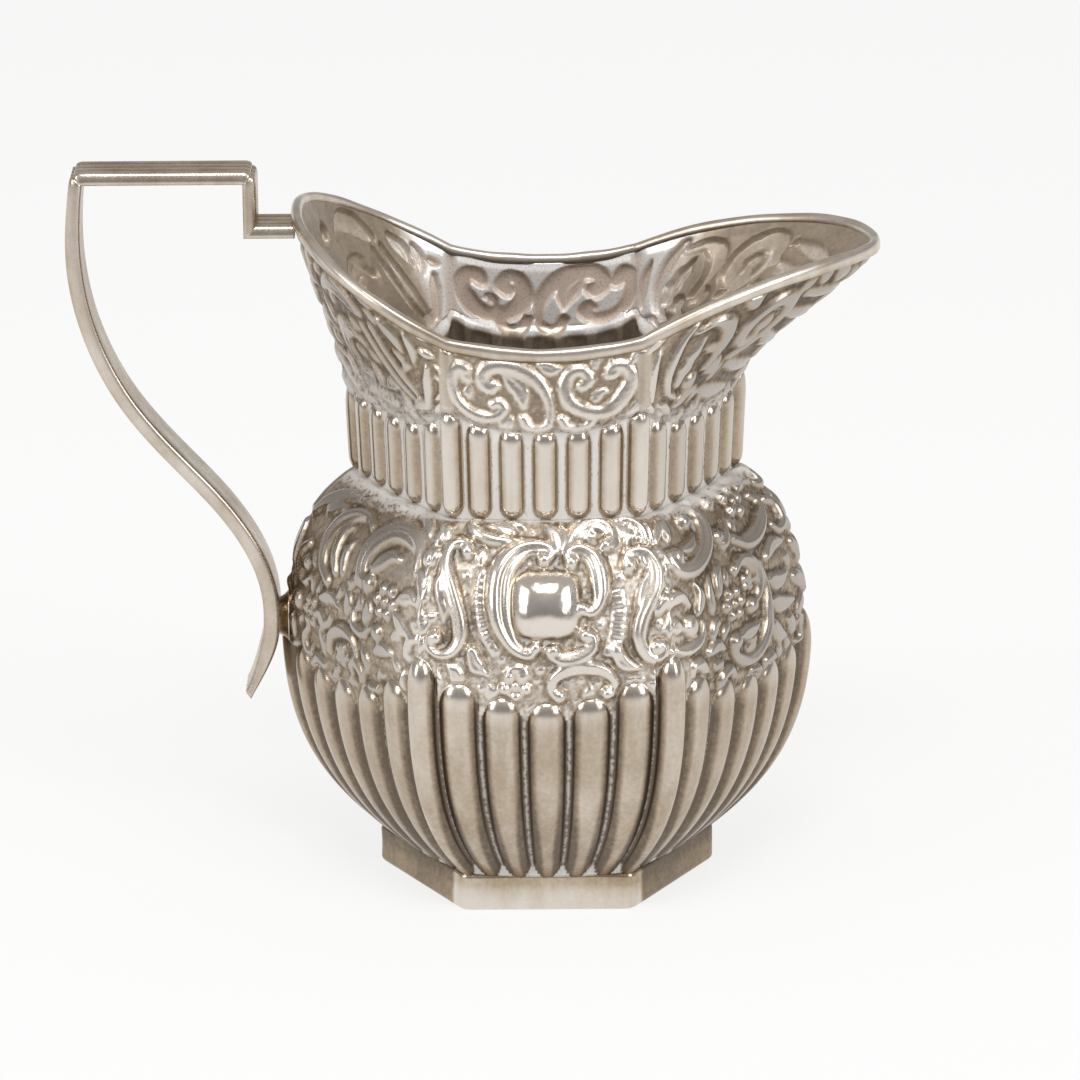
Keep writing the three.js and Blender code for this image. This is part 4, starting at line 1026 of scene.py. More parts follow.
def make_bowl(material):
    top_run = belly_run(NECK_CREASE_HEIGHT)
    band_run = belly_run(BAND_START)
    runs = np.concatenate([
        np.linspace(0, band_run, BOWL_FLUTE_ROWS, endpoint=False),
        np.linspace(band_run, top_run, BOWL_BAND_ROWS),
    ])
    turn, run = np.meshgrid(turn_row(), runs)
    height = belly_height(run)
    floor = on_section(turn, belly_radius(height), np.full_like(turn, -BELLY_FLUTE_DEPTH), height)
    floor = soften_corners(floor)
    relief, tarnish, residue, ground, polish = bowl_relief(turn, height)
    normals = grid_normals(floor)
    outer = floor + normals * relief[..., None]
    rows = np.linspace(0, len(runs) - 1, BOWL_INSIDE_ROWS).round().astype(int)[::-1]
    inner = floor[rows] + normals[rows] * (BOWL_INSIDE_FOLLOWS * relief[rows, :, None] - SHEET)
    inner[..., 2] = floor[rows][..., 2]
    attributes = shell_attributes(
        len(outer), len(inner), tarnish=(tarnish, BOWL_INSIDE_TARNISH), residue=(residue, 0),
        ground=(ground, 0), inside=(0, 1), polish=(polish, 0),
        dull=(painted_side_shade(turn) * np.where(polish > 0.4, 0.5, 1.0), 0))
    new_band("embossed_bowl", "bowl", np.vstack([outer, inner]), material, attributes)


# Neck

NECK_FLUTE_ROWS = 44
NECK_FLARE_ROWS = 66
NECK_INSIDE_FLARE_ROWS = 62
NECK_INSIDE_FLUTE_ROWS = 24
FLARE_WALL = 1.05
FLARE_INSET = 0.12
THINNEST_WALL = 0.2
CORNER_LEAF_FACE = 28.0
CORNER_LEAF_HALF_WIDTH = 1.7
CORNER_LEAF_HEIGHT = 0.6
NECK_INSIDE_FLUTE_SHADE = 0.75


def neck_relief(turn, share):
    """Height over the flare, recess and share pressed out; share is 0 at the flutes, 1 at the rim."""
    side = np.floor(turn % SIDES).astype(int)
    along = (turn % SIDES) - side
    height = np.zeros_like(share)
    cavity = np.zeros_like(share)
    inside = np.zeros_like(share)
    for index, (design, mirrored) in enumerate(NECK_SIDE_DESIGNS):
        chosen = side == index
        width, depth = NECK_PLATES[design]
        place = along[chosen]
        across = (1 - place if mirrored else place) * width
        down = (1 - share[chosen]) * depth
        plate = NECK_PLATES_DRAWN[design]
        edge = smooth_step((down - 0.3) / 0.7)
        height[chosen] = plate.read(across, down) * edge
        cavity[chosen] = plate.read(across, down, plate.cavity)
        inside[chosen] = plate.read(across, down, plate.pressed) * edge
    corner = np.round(turn)
    plain_corner = corner % 3 != 0
    off_corner = np.abs(turn - corner) * CORNER_LEAF_FACE
    leaf_half = CORNER_LEAF_HALF_WIDTH * (1 - 0.45 * share)
    blade = np.clip(1 - (off_corner / leaf_half) ** 2, 0, 1)
    blade = np.where(plain_corner, CORNER_LEAF_HEIGHT * blade * smooth_step((1 - share) / 0.12), 0)
    cavity = np.where(blade > height, 0.15, cavity)
    return np.maximum(height, blade), cavity, np.maximum(inside, blade)


def make_neck(material):
    flute_shares = np.linspace(0, 1, NECK_FLUTE_ROWS, endpoint=False)
    turn, share = np.meshgrid(turn_row(), flute_shares)
    low = NECK_CREASE_HEIGHT - 0.1
    height = low + (neck_flute_top(turn) - low) * share
    sunk = np.full_like(turn, -NECK_FLUTE_DEPTH)
    flute_floor = on_section(turn, neck_radius(height), sunk, height)
    centre_top = neck_flute_top(flute_centre(turn))
    half_pitch = NECK_CORNER_RADIUS / FLUTES_PER_SIDE / 2
    rods, reach, tip = rod_row(turn, centre_top + 0.3 - height, height - low - 0.3, half_pitch,
                               NECK_FLUTE_DEPTH, NECK_ROD_SHARE)

    turn, share = np.meshgrid(turn_row(), np.linspace(0, 1, NECK_FLARE_ROWS))
    by_handle = smooth_step(1 - np.abs(turn - SIDES / 2) / 0.3)
    groove = (NECK_FLUTE_DEPTH - FLARE_INSET) * (1 - by_handle)
    inset = FLARE_INSET + groove * (1 - smooth_step(share / 0.1))
    flare_floor = soften_corners(flare_point(turn, share, inset), (1 - share[..., None]) ** 0.5)
    ornament, recess, pressed = neck_relief(turn, share)
    floor = np.vstack([soften_corners(flute_floor), flare_floor])
    relief = np.vstack([rods, ornament])
    on_ground = 1 - smooth_step(ornament / 0.45)
    # Painted light on the neck rods: darker flanks are painted shade, lighter tips painted highlight,
    # over a light tarnished tone
    neck_rod_painted_light = 0.08 + 0.4 * smooth_step((reach - 0.25) / 0.7) * (1 - 0.7 * smooth_step(2 * tip))
    side_shade = painted_side_shade(turn[:1])
    darkened = 0.7 * GROUND_TARNISH * on_ground + (1.3 + 0.5 * side_shade) * recess
    tarnish = np.vstack([neck_rod_painted_light, darkened])
    # painted shade on the side faces of the neck, outside
    tarnish[:NECK_FLUTE_ROWS] += 0.5 * SIDE_SHADE * side_shade
    tarnish[NECK_FLUTE_ROWS:] += 1.6 * SIDE_SHADE * side_shade + 0.06
    tarnish = np.clip(tarnish, 0, 1)
    handle_side = side_shade * (np.abs(turn - SIDES / 2) < 1)
    low_flare = 0.7 * (1 - smooth_step(share / (0.25 + 0.35 * handle_side)))
    in_recess = np.maximum(0.8 * smooth_step((recess - 0.2) / 0.3), low_flare)
    residue = np.vstack([rod_powder(reach), in_recess])
    ground = np.vstack([np.zeros_like(rods), on_ground])
    normals = grid_normals(floor)
    outer = floor + normals * relief[..., None]

    rows = np.concatenate([
        np.linspace(0, NECK_FLUTE_ROWS, NECK_INSIDE_FLUTE_ROWS, endpoint=False),
        np.linspace(NECK_FLUTE_ROWS, len(floor) - 1, NECK_INSIDE_FLARE_ROWS),
    ]).round().astype(int)[::-1]
    pressed = np.vstack([0.8 * rods / NECK_FLUTE_DEPTH, pressed])[rows]
    from_edges = smooth_step(share / 0.12) * smooth_step((1 - share) / 0.12)
    wall = np.vstack([0 * rods + SHEET, SHEET + (FLARE_WALL - SHEET) * from_edges])[rows]
    pressed_out = np.minimum(PRESSED_DEPTH * pressed, relief[rows] + wall - THINNEST_WALL)
    inner = floor[rows] + normals[rows] * (pressed_out - wall)[..., None]
    inner[0, :, 2] = outer[-1, :, 2]
    inner[-1, :, 2] = outer[0, :, 2]
    # Painted light inside the neck: on the front and back walls the ridges are kept cleaner than clean
    # as painted highlight and the pits take a tan patina; the side walls are painted darker as shade
    inner_tarnish = (1 - side_shade) * (0.3 * pressed - 0.22) + side_shade * (0.6 - 0.24 * pressed)
    # painted shade: the flute rows inside the neck are dark brown for the shadowed depth below the mouth
    inner_tarnish[-NECK_INSIDE_FLUTE_ROWS:] = NECK_INSIDE_FLUTE_SHADE
    attributes = shell_attributes(
        len(outer), len(inner), tarnish=(tarnish, inner_tarnish), residue=(residue, 0),
        ground=(ground, 0), inside=(0, 1), polish=(np.vstack([0 * rods + 0.6, 0 * ornament]), 0),
        dull=(np.vstack([0.5 * side_shade + 0 * rods, side_shade + 0 * ornament]), (1 - side_shade) * pressed))
    new_band("embossed_neck", "neck", np.vstack([outer, inner]), material, attributes)


# Rim wire

RIM_SIDES = 16
RIM_COLUMNS = 360
RIM_WOBBLE = 0.05
RIM_RIPPLE = 0.02
RIM_SWELL = 0.05
RIM_MATTING = 0.6
RIM_HALF_WIDTH = 0.76
RIM_HALF_HEIGHT = 0.98


def make_rim_wire(material):
    turn = np.arange(RIM_COLUMNS) * SIDES / RIM_COLUMNS
    angles = 2 * np.pi * np.arange(RIM_SIDES) / RIM_SIDES
    around = 2 * np.pi * turn / SIDES
    wobble = RIM_WOBBLE * np.sin(9 * around) + RIM_RIPPLE * np.sin(29 * around + 1)
    swell = 1 + RIM_SWELL * np.sin(14 * around + 2)
    rings = []
    for angle in angles:
        out = RIM_HALF_WIDTH * np.sign(math.cos(angle)) * abs(math.cos(angle)) ** 0.8
        up = RIM_HALF_HEIGHT * np.sign(math.sin(angle)) * abs(math.sin(angle)) ** 0.9
        ring = mouth_edge(turn) + mouth_normal(turn) * (out * swell + 0.6 * wobble)[:, None]
        ring[..., 2] += up * swell + wobble
        rings.append(ring)
    # painted shade: the lower half of the wire's section is darker than its top, over an even worn tone
    wear_and_shade = 0.12 + 0.25 * np.clip(-np.sin(angles), 0, 1)[:, None] + 0 * turn
    new_band("rim_wire_drawn", "rim_wire", np.array(rings), material,
             {"tarnish": wear_and_shade, "ground": 0 * wear_and_shade + RIM_MATTING})


# Foot

FOOT_EDGE_ROUND = 0.8
FOOT_STEPS = 24
FOOT_FRONT_WEAR = 0.1
FOOT_SIDE_WEAR_AND_SHADE = 0.66
FOOT_TOP_WEAR = 0.22
FOOT_INSIDE_WEAR = 0.6


def hexagon(radius, rounding):
    """Six-sided ring with slightly rounded corners and spare points along each side."""
    corners = FOOT_CORNERS * radius
    points = []
    for index in range(SIDES):
        before = corners[index - 1] - corners[index]
        after = corners[(index + 1) % SIDES] - corners[index]
        before = before / np.linalg.norm(before) * rounding
        after_unit = after / np.linalg.norm(after)
        bend = np.linspace(0, 1, 6)
        points.extend(bezier([corners[index] + before, corners[index],
                              corners[index] + after_unit * rounding], bend))
        length = np.linalg.norm(after) - 2 * rounding
        for step in range(1, FOOT_STEPS):
            points.append(corners[index] + after_unit * (rounding + length * step / FOOT_STEPS))
    return np.array(points)


def make_foot(material):
    outline = hexagon(1.0, 0.05)
    bend = np.linspace(0, np.pi / 2, 6)
    edge = FOOT_EDGE_ROUND
    outer = FOOT_CORNER_RADIUS + 0.05
    inner = FOOT_CORNER_RADIUS - FOOT_WALL
    profile = [(outer - edge + edge * math.sin(a), edge - edge * math.cos(a)) for a in bend]
    profile += [(outer - 0.04, share * FOOT_HEIGHT) for share in (0.3, 0.5, 0.7)]
    top = FOOT_HEIGHT - edge
    profile += [(outer - edge + edge * math.cos(a), top + edge * math.sin(a)) for a in bend]
    profile += [(inner, FOOT_HEIGHT), (inner, FOOT_HEIGHT / 2), (inner, 0.0)]
    rows = []
    dents = np.random.default_rng(5).uniform(0, 2 * np.pi, 3)
    angle = np.arctan2(outline[:, 1], outline[:, 0])
    for radius, height in profile:
        wave = 0.05 * np.sin(5 * angle + dents[0]) + 0.04 * np.sin(13 * angle + dents[1] + height)
        flat = outline * (radius + wave[:, None] * min(height, 1.0))
        rows.append(np.column_stack([flat, np.full(len(flat), height)]))
    points = np.array(rows)
    facing = np.abs(outline[:, 1]) > 0.9 * FACE_DISTANCE_SHARE
    # painted shade: the four side faces are much darker than the front and back, over some worn tone
    wear_and_shade = np.tile(np.where(facing, FOOT_FRONT_WEAR, FOOT_SIDE_WEAR_AND_SHADE), (len(points), 1))
    wear_and_shade += FOOT_TOP_WEAR * smooth_step((points[..., 2] - 2.0) / 2.5)
    wear_and_shade[-3:] = FOOT_INSIDE_WEAR
    new_band("foot_collar_worn_and_shaded", "foot_collar", points, material, {"tarnish": wear_and_shade})


# Handle

STRIP_EDGE_ROUND = 0.5


def strip_outline():
    """Section of the reeded strip: across it, and out from its inner face."""
    half = STRIP_WIDTH / 2
    edge = STRIP_EDGE_ROUND
    points = []
    for angle in np.linspace(0, np.pi / 2, 5):
        points.append((-half + edge - edge * math.sin(angle), edge - edge * math.cos(angle)))
    low = STRIP_THICKNESS - REED_DEPTH
    for share in np.linspace(0, 1, 8 * STRIP_REEDS + 1):
        reed = abs(math.sin(math.pi * STRIP_REEDS * share)) ** 0.75
        side = min(share, 1 - share) * STRIP_WIDTH
        shoulder = 1 - 0.55 * max(0.0, 1 - side / 0.35)
        points.append((-half + share * STRIP_WIDTH, (low + REED_DEPTH * reed) * shoulder))
    for angle in np.linspace(np.pi / 2, 0, 5):
        points.append((half - edge + edge * math.sin(angle), edge - edge * math.cos(angle)))
    for share in (0.75, 0.5, 0.25):
        points.append((-half + edge + share * (STRIP_WIDTH - 2 * edge), 0.0))
    return np.array(points)[::-1]


STRIP = strip_outline()
CORNER_ROUND = 2.4
INNER_FACE_SHADE = 0.4
REED_WEAR = 0.2
GROOVE_WEAR = 0.5


def strip_ring(corner, along, mitre, shrink):
    """Section of the strip at a corner of its inner face; shrink lowers its outer face."""
    out = np.array((along[1], -along[0])) + along * mitre
    flat = np.asarray(corner) + STRIP[:, 1:] * shrink * out
    return np.column_stack([flat[:, 0], STRIP[:, 0], flat[:, 1]])


def rounded_corner(beyond):
    """Share of the strip's thickness left at a distance from the mitre, for a rounded outer corner."""
    reach = np.clip(CORNER_ROUND * math.sqrt(0.5) - beyond, 0, None)
    drop = CORNER_ROUND - np.sqrt(CORNER_ROUND**2 - reach**2)
    return 1 - drop / STRIP_THICKNESS


def make_strip(name, node, corners, alongs, mitres, shrinks, material):
    rings = np.array([strip_ring(*ring) for ring in zip(corners, alongs, mitres, shrinks)])
    reach = STRIP[:, 1]
    low = STRIP_THICKNESS - REED_DEPTH
    groove = np.where(reach > 0.6 * low, np.clip((STRIP_THICKNESS - reach) / REED_DEPTH, 0, 1), 0)
    groove = np.where(np.abs(STRIP[:, 0]) > STRIP_WIDTH / 2 - 0.4, 0, groove)
    # painted shade: the strip's inner face is darker than its reeded face
    wear_and_shade = np.where(reach < 0.1, INNER_FACE_SHADE, REED_WEAR + GROOVE_WEAR * groove**1.3)
    new_length(name, node, rings, material, np.tile(wear_and_shade, (len(rings), 1)))


BACKWARDS = np.array((-1.0, 0.0))
UPWARDS = np.array((0.0, 1.0))
DOWNWARDS = np.array((0.0, -1.0))
MITRE_RUN = 2.2
MITRE_STEPS = np.array([0, 0.1, 0.22, 0.38, 0.6, 1.0])
STRAP_GAIN_RUN = 14.0
TAIL_TAPER_RUN = 9.0
TAIL_THIN = 0.55
TAIL_ROUND = 0.7


def straight(start, end, along, start_mitre, end_mitre):
    """Rings of a straight length; an outer mitre, at a corner that turns inwards, has a rounded edge."""
    start, end = np.asarray(start), np.asarray(end)
    length = np.linalg.norm(end - start)
    near = MITRE_RUN * MITRE_STEPS
    between = np.linspace(MITRE_RUN, length - MITRE_RUN, 5)[1:-1]
    runs = np.concatenate([near, between, length - near[::-1]])
    corners = start + (end - start) * (runs / length)[:, None]
    at_start = np.clip(1 - runs / MITRE_RUN, 0, 1)
    at_end = np.clip(1 - (length - runs) / MITRE_RUN, 0, 1)
    mitres = start_mitre * at_start + end_mitre * at_end
    stretch = 1 + STRIP_THICKNESS / MITRE_RUN
    shrinks = np.ones(len(runs))
    if start_mitre < 0:
        shrinks *= rounded_corner(runs * stretch)
    if end_mitre > 0:
        shrinks *= rounded_corner((length - runs) * stretch)
    return corners, [along] * len(runs), mitres, shrinks


def strap_line(share):
    bar = HANDLE_TOP_HEIGHT - STRIP_THICKNESS
    top = -(HANDLE_REACH - STRIP_THICKNESS)
    lug = -(belly_radius(LUG_HEIGHT) + 2 * SOLDER_GAP + LUG_LENGTH)
    curve = [(top, bar), (top - STRAP_BOW, bar - STRAP_BOW_DROP),
             (lug + STRAP_RETURN_SWAY, LUG_HEIGHT + STRAP_RETURN_RISE), (lug, LUG_HEIGHT)]
    tail = [(lug, LUG_HEIGHT), (lug, LUG_HEIGHT - STRAP_TAIL_DROP / 3),
            (lug - STRAP_TAIL_KICK / 3, LUG_HEIGHT - 2 * STRAP_TAIL_DROP / 3),
            (lug - STRAP_TAIL_KICK, LUG_HEIGHT - STRAP_TAIL_DROP)]
    line = np.where((share < 1)[:, None], bezier(curve, share), bezier(tail, share - 1))
    line[:, 0] += STRAP_SHIFT * smooth_step((share - 0.35) / 0.35) * smooth_step((2 - share) / 0.9)
    return line


def make_handle(material):
    bar = HANDLE_TOP_HEIGHT - STRIP_THICKNESS
    start = (-(BACK_REACH + 0.2), STUB_HEIGHT)
    foot = (-(BACK_REACH + RIM_RADIUS + SOLDER_GAP) - STUB_LENGTH - STRIP_THICKNESS, STUB_HEIGHT)
    top = (foot[0], bar)
    far = (-(HANDLE_REACH - STRIP_THICKNESS), bar)
    make_strip("handle_stub_reeded", "handle_stub", *straight(start, foot, BACKWARDS, 0, -1), material)
    make_strip("handle_riser_reeded", "handle_riser", *straight(foot, top, UPWARDS, 1, 1), material)
    make_strip("handle_bar_reeded", "handle_top_bar", *straight(top, far, BACKWARDS, -1, 1), material)
    shares = np.concatenate([[0, 0.004, 0.009, 0.015, 0.022], np.linspace(0.03, 2, 130)])
    corners = strap_line(shares)
    alongs = np.gradient(corners, axis=0)
    alongs /= lengths(alongs)
    alongs[0] = DOWNWARDS
    runs = run_along(corners)
    mitres = -np.clip(1 - runs / MITRE_RUN, 0, 1)
    shrinks = rounded_corner(runs * (1 + STRIP_THICKNESS / MITRE_RUN))
    shrinks *= 1 + STRAP_GAIN * smooth_step(runs / STRAP_GAIN_RUN)
    left = runs[-1] - runs
    shrinks *= TAIL_THIN + (1 - TAIL_THIN) * smooth_step(left / TAIL_TAPER_RUN)
    shrinks *= np.sqrt(1 - 0.9 * np.clip(1 - left / TAIL_ROUND, 0, 1) ** 2)
    make_strip("handle_strap_reeded", "handle_strap", corners, alongs, mitres, shrinks, material)


PEG_HALF_WIDTH = 2.3
PEG_HALF_HEIGHT = 2.7
PEG_SPREAD = 0.5
PEG_IN_BELLY = 1.4
PEG_IN_STRAP = 0.3
PEG_WEAR = 0.2
PEG_SIDES = 28
PEG_ROWS = 10


def make_lug(material):
    """A short round peg that spreads where its solder meets the belly."""
    inner = -(belly_radius(LUG_HEIGHT) - PEG_IN_BELLY)
    strap_x = strap_line(np.ones(1))[0, 0] - PEG_IN_STRAP
    angle = 2 * np.pi * np.arange(PEG_SIDES) / PEG_SIDES
    rings = []
    for share in np.linspace(0, 1, PEG_ROWS):
        spread = 1 + PEG_SPREAD * (1 - share) ** 2
        rings.append(np.column_stack([
            np.full(PEG_SIDES, inner + (strap_x - inner) * share),
            PEG_HALF_WIDTH * spread * np.cos(angle),
            LUG_HEIGHT + PEG_HALF_HEIGHT * spread * np.sin(angle),
        ]))
    new_length("handle_lug_soldered", "handle_lug", np.array(rings), material,
               np.full((PEG_ROWS, PEG_SIDES), PEG_WEAR))


# Materials

class Shader:
    """Small helper that adds nodes to a material or a world and joins them."""

    def __init__(self, owner):
        owner.use_nodes = True
        self.tree = owner.node_tree

    def node(self, kind, settings=None, **inputs):
        node = self.tree.nodes.new(kind)
        for key, value in (settings or {}).items():
            setattr(node, key, value)
        for key, value in inputs.items():
            self.put(node.inputs[key.replace("_", " ")], value)
        return node

    def put(self, socket, value):
        if isinstance(value, bpy.types.NodeSocket):
            self.tree.links.new(value, socket)
        else:
            socket.default_value = value

    def math(self, operation, first, second=0.0, third=0.0, clamp=False):
        node = self.node("ShaderNodeMath", {"operation": operation, "use_clamp": clamp})
        for socket, value in zip(node.inputs, (first, second, third)):
            self.put(socket, value)
        return node.outputs[0]

    def add(self, layers, total):
        """Total plus each layer times its gain."""
        for layer, gain in layers:
            total = self.math("MULTIPLY_ADD", layer, gain, total)
        return total

    def blend(self, factor, first, second):
        node = self.node("ShaderNodeMix", {"data_type": "RGBA"})
        for index, value in ((0, factor), (6, first), (7, second)):
            self.put(node.inputs[index], value)
        return node.outputs[2]

    def band(self, value, low, high, course="SMOOTHSTEP"):
        """0 at low, 1 at high."""
        node = self.node("ShaderNodeMapRange", {"interpolation_type": course}, Value=value,
                         From_Min=low, From_Max=high)
        return node.outputs["Result"]

    def place(self, output):
        return self.node("ShaderNodeTexCoord").outputs[output]

    def split(self, vector):
        return self.node("ShaderNodeSeparateXYZ", Vector=vector).outputs

    def stretched(self, vector, scale):
        return self.node("ShaderNodeMapping", Vector=vector, Scale=scale).outputs["Vector"]

    def noise(self, vector, scale, detail=3.0, roughness=0.55):
        return self.node("ShaderNodeTexNoise", Vector=vector, Scale=scale, Detail=detail,
                         Roughness=roughness).outputs["Fac"]

    def attribute(self, name):
        return self.node("ShaderNodeAttribute", {"attribute_name": name}).outputs["Fac"]

    def seen_directly(self):
        """1 for rays from the camera, and for those that metal or glass sends on."""
        rays = self.node("ShaderNodeLightPath").outputs
        seen = self.math("MAXIMUM", rays["Is Camera Ray"], rays["Is Glossy Ray"])
        return self.math("MAXIMUM", seen, rays["Is Transmission Ray"])


CLEAN_SILVER = (0.76, 0.705, 0.635, 1)
# Painted light: near-white silver, so the dimly lit inside of the mouth reads bright
INSIDE_LIT_SILVER = (0.95, 0.93, 0.91, 1)
INSIDE_TAN = (0.84, 0.71, 0.61, 1)
# Painted shade: the greyer silver of the four side faces
SIDE_SHADE_SILVER = (0.47, 0.43, 0.385, 1)
WARM_SILVER = (0.47, 0.38, 0.28, 1)
YELLOW_SILVER = (0.42, 0.32, 0.2, 1)
# Darkest tone, for heavy oxide and for deep painted shade
DARK_OXIDE_AND_SHADE = (0.13, 0.1, 0.074, 1)
POLISH_RESIDUE = (0.77, 0.755, 0.73, 1)
LAYERS = ("tarnish", "residue", "ground", "inside", "dull", "polish")

# Grains of the noises, per metre
CLOUD_SCALE = 70.0
PATCH_SCALE = (420.0, 420.0, 90.0)
SPECK_SCALE = 1500.0
GRAIN_SCALE = 2600.0
SCRATCH_SCALE = (900.0, 900.0, 5200.0)
BUMP_DEPTH = 0.0002


def silver_with_tarnish_and_painted_light(name, stain, residue, warm, roughness, matted=0.0):
    material = bpy.data.materials.new(name)
    shader = Shader(material)
    surface = shader.tree.nodes["Principled BSDF"].inputs
    # The first layer read here carries tarnished tone together with painted shade and painted highlight
    tarnish, powder, ground, inside, dull, polish = map(shader.attribute, LAYERS)
    place = shader.place("Object")
    cloud = shader.noise(place, CLOUD_SCALE, 4.0)
    patch = shader.noise(shader.stretched(place, PATCH_SCALE), 1.0, 4.0)
    speck = shader.noise(place, SPECK_SCALE)
    grain = shader.noise(place, GRAIN_SCALE)
    scratch = shader.noise(shader.stretched(place, SCRATCH_SCALE), 1.0, 2.0)

    uneven = shader.math("ADD", shader.math("MULTIPLY_ADD", patch, 0.32, -0.16),
                         shader.math("MULTIPLY_ADD", cloud, warm, -0.5 * warm))
    mottle = shader.math("MULTIPLY", shader.math("MULTIPLY_ADD", speck, 0.6, -0.3), tarnish)
    depth = shader.math("ADD", shader.math("ADD", tarnish, uneven), mottle)
    dark = shader.math("MULTIPLY", shader.band(depth, 0.25, 1.0), 0.92)
    cover = shader.math("MULTIPLY_ADD", powder, 0.35, speck)
    powder = shader.math("MULTIPLY", powder, shader.band(cover, 0.58, 0.74))
    powder = shader.math("MULTIPLY", powder, residue)

    # Outside, the side shade layer turns the silver to the painted-shade grey; inside, it gives the pits
    # their tan
    clean = shader.blend(inside, shader.blend(dull, CLEAN_SILVER, SIDE_SHADE_SILVER),
                         shader.blend(dull, INSIDE_LIT_SILVER, INSIDE_TAN))
    colour = shader.blend(shader.band(depth, -0.05, 0.5), clean, stain)
    colour = shader.blend(dark, colour, DARK_OXIDE_AND_SHADE)
    shader.put(surface["Base Color"], shader.blend(powder, colour, POLISH_RESIDUE))
    metal = shader.math("MULTIPLY_ADD", inside, -0.75, 1.0)
    shader.put(surface["Metallic"], shader.math("MULTIPLY_ADD", powder, -0.9, metal, clamp=True))
    shader.put(surface["Roughness"], shader.add((
        (shader.band(grain, 0.3, 0.75), 0.07), (dark, 0.2), (polish, -0.11), (inside, 0.03),
        (ground, 0.15), (powder, 0.45), (shader.band(scratch, 0.55, 0.8), 0.06),
    ), roughness))
    beaten = shader.math("MULTIPLY_ADD", ground, matted, 0.012)
    relief = shader.math("MULTIPLY_ADD", scratch, 0.006, shader.math("MULTIPLY", grain, beaten))
    bump = shader.node("ShaderNodeBump", Strength=0.5, Distance=BUMP_DEPTH, Height=relief)
    shader.put(surface["Normal"], bump.outputs["Normal"])
    return material


# Stage, light and camera

FLOOR_SIZE = 6.0
PAPER_START = -0.15
PAPER_END = -0.6
PAPER = (1, 1, 1, 1)
ROOM_FLOOR = (0.52, 0.5, 0.48, 1)
FLOOR_ROUGHNESS = 0.9
FLOOR_GLOW = 0.8
ROOM_LOW = (0.3, 0.3, 0.31, 1)
ROOM_HIGH = (0.5, 0.48, 0.46, 1)
ROOM_LEVELS = (0.15, 0.6)
WALL_TOP = 0.2
WALL_WHITE_BELOW = 0.08
WALL_TURN = 0.2


def make_floor():
    half = FLOOR_SIZE / 2
    corners = [(-half, -half, 0), (half, -half, 0), (half, half, 0), (-half, half, 0)]
    mesh = bpy.data.meshes.new("floor")
    mesh.from_pydata(corners, [], [(0, 1, 2, 3)])
    floor = bpy.data.objects.new("floor", mesh)
    bpy.context.scene.collection.objects.link(floor)
    material = bpy.data.materials.new("pale_floor")
    shader = Shader(material)
    surface = shader.tree.nodes["Principled BSDF"]
    shader.put(surface.inputs["Roughness"], FLOOR_ROUGHNESS)
    paper = shader.band(shader.split(shader.place("Object"))["Y"], PAPER_END, PAPER_START)
    tint = shader.blend(paper, ROOM_FLOOR, PAPER)
    shader.put(surface.inputs["Base Color"], tint)
    glow = shader.node("ShaderNodeEmission", Color=tint)
    mix = shader.node("ShaderNodeMixShader")
    share = shader.math("MULTIPLY", shader.seen_directly(), FLOOR_GLOW)
    for socket, value in zip(mix.inputs, (share, surface.outputs[0], glow.outputs[0])):
        shader.put(socket, value)
    shader.put(shader.tree.nodes["Material Output"].inputs["Surface"], mix.outputs[0])
    mesh.materials.append(material)


def make_world():
    """A grey room with a white wall behind the object, the same for every ray."""
    world = bpy.data.worlds.new("studio")
    bpy.context.scene.world = world
    shader = Shader(world)
    towards = shader.split(shader.place("Generated"))
    ramp = shader.node("ShaderNodeValToRGB")
    shader.put(ramp.inputs[0], towards["Z"])
    for index, colour in enumerate((ROOM_LOW, ROOM_HIGH)):
        stop = ramp.color_ramp.elements[index]
        stop.position = ROOM_LEVELS[index]
        stop.color = colour
    low = shader.band(towards["Z"], WALL_TOP, WALL_WHITE_BELOW, "LINEAR")
    behind = shader.band(towards["Y"], -WALL_TURN, WALL_TURN, "LINEAR")
    wall = shader.math("MULTIPLY", low, behind)
    room = shader.blend(wall, ramp.outputs["Color"], PAPER)
    shader.put(shader.tree.nodes["Background"].inputs["Color"], room)


AIM_BEHIND_AXIS = 0.755
AIM_HEIGHT = 47.92
TARGET = Vector(((AXIS[0] - AIM_BEHIND_AXIS) * MM, 0.0, AIM_HEIGHT * MM))

# Name, azimuth, elevation, distance, width, height and power of each lamp
SOFTBOXES = (
    ("softbox_left", -52, 22, 1.1, 0.4, 0.6, 2.8),
    ("softbox_right", 46, 24, 1.1, 0.4, 0.6, 3.2),
    ("softbox_top", 0, 56, 1.2, 0.45, 0.35, 4.8),
)


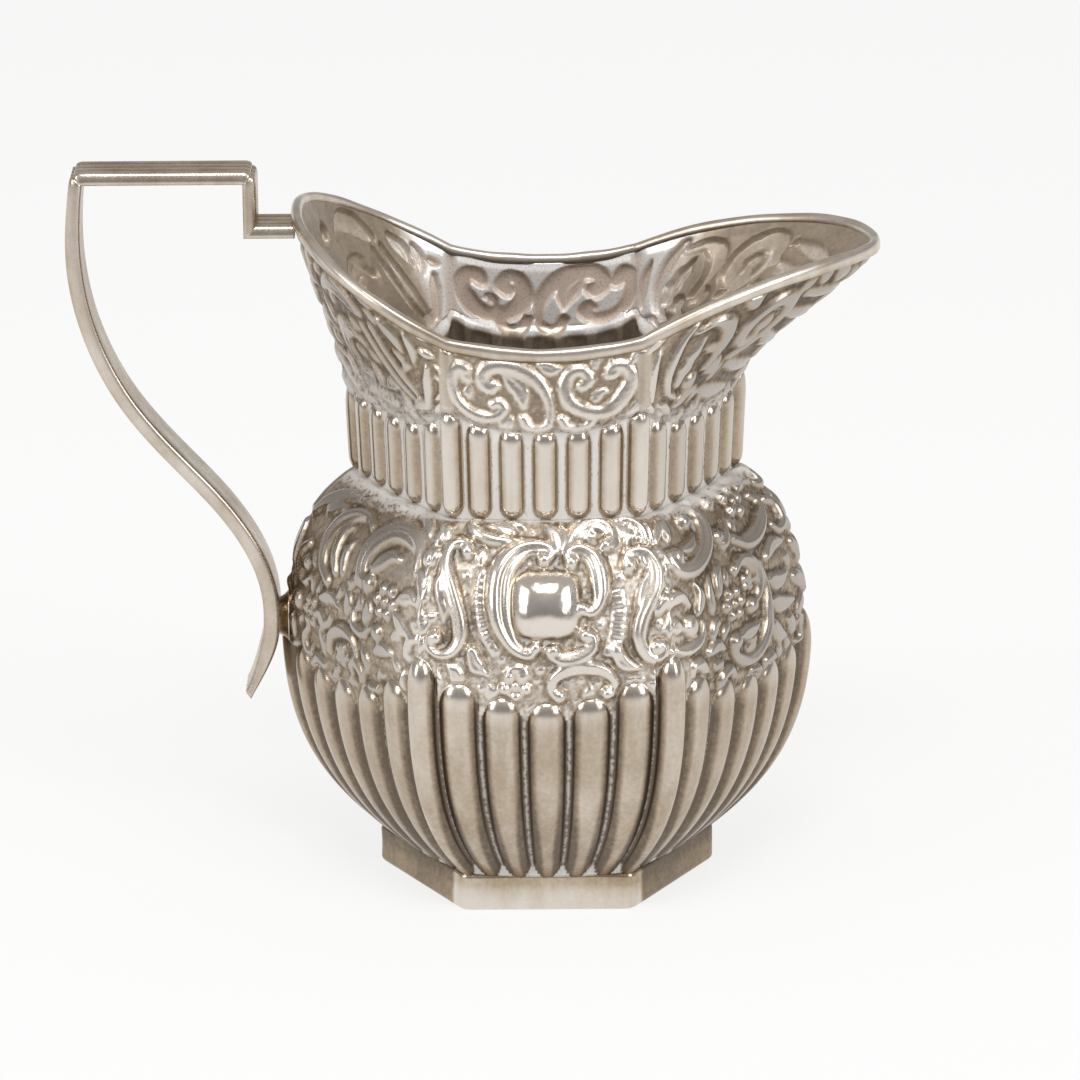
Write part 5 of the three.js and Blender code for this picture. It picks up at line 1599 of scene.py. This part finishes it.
def make_softbox(name, azimuth, elevation, distance, width, height, power):
    lamp = bpy.data.lights.new(name, "AREA")
    lamp.shape = "RECTANGLE"
    lamp.size = width
    lamp.size_y = height
    lamp.energy = power
    light = bpy.data.objects.new(name, lamp)
    turn, rise = math.radians(azimuth), math.radians(elevation)
    away = Vector((math.sin(turn) * math.cos(rise), -math.cos(turn) * math.cos(rise), math.sin(rise)))
    light.location = TARGET + away * distance
    light.rotation_euler = away.to_track_quat("Z", "Y").to_euler()
    bpy.context.scene.collection.objects.link(light)


CAMERA_ELEVATION = math.radians(17.82)
CAMERA_ROLL = math.radians(0.387)
CAMERA_DISTANCE = 0.9
CAMERA_LENS = 212.85


def make_camera():
    data = bpy.data.cameras.new("camera")
    data.sensor_width = 36.0
    data.lens = CAMERA_LENS
    data.clip_end = 50.0
    camera = bpy.data.objects.new("camera", data)
    back = Vector((0.0, -math.cos(CAMERA_ELEVATION), math.sin(CAMERA_ELEVATION)))
    tilt = Matrix.Rotation(math.pi / 2 - CAMERA_ELEVATION, 4, "X")
    roll = Matrix.Rotation(-CAMERA_ROLL, 4, "Z")
    camera.matrix_world = Matrix.Translation(TARGET + back * CAMERA_DISTANCE) @ (tilt @ roll)
    bpy.context.scene.collection.objects.link(camera)
    bpy.context.scene.camera = camera


# The pieces

BELLY_PLATES, NECK_PLATES_DRAWN = draw_plates()
embossed = silver_with_tarnish_and_painted_light("embossed_silver", WARM_SILVER, residue=0.9, warm=0.45, roughness=0.23,
                       matted=0.5)
plain = silver_with_tarnish_and_painted_light("plain_silver", YELLOW_SILVER, residue=0.2, warm=0.8, roughness=0.2)
strip = silver_with_tarnish_and_painted_light("strip_silver", WARM_SILVER, residue=0.15, warm=0.8, roughness=0.24)

make_bowl(embossed)
make_neck(embossed)
make_rim_wire(plain)
make_foot(plain)
make_handle(strip)
make_lug(plain)
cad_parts["base_plate"].data.materials.clear()
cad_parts["base_plate"].data.materials.append(plain)

make_floor()
make_world()
for values in SOFTBOXES:
    make_softbox(*values)
make_camera()

bpy.context.scene.view_settings.view_transform = "Standard"
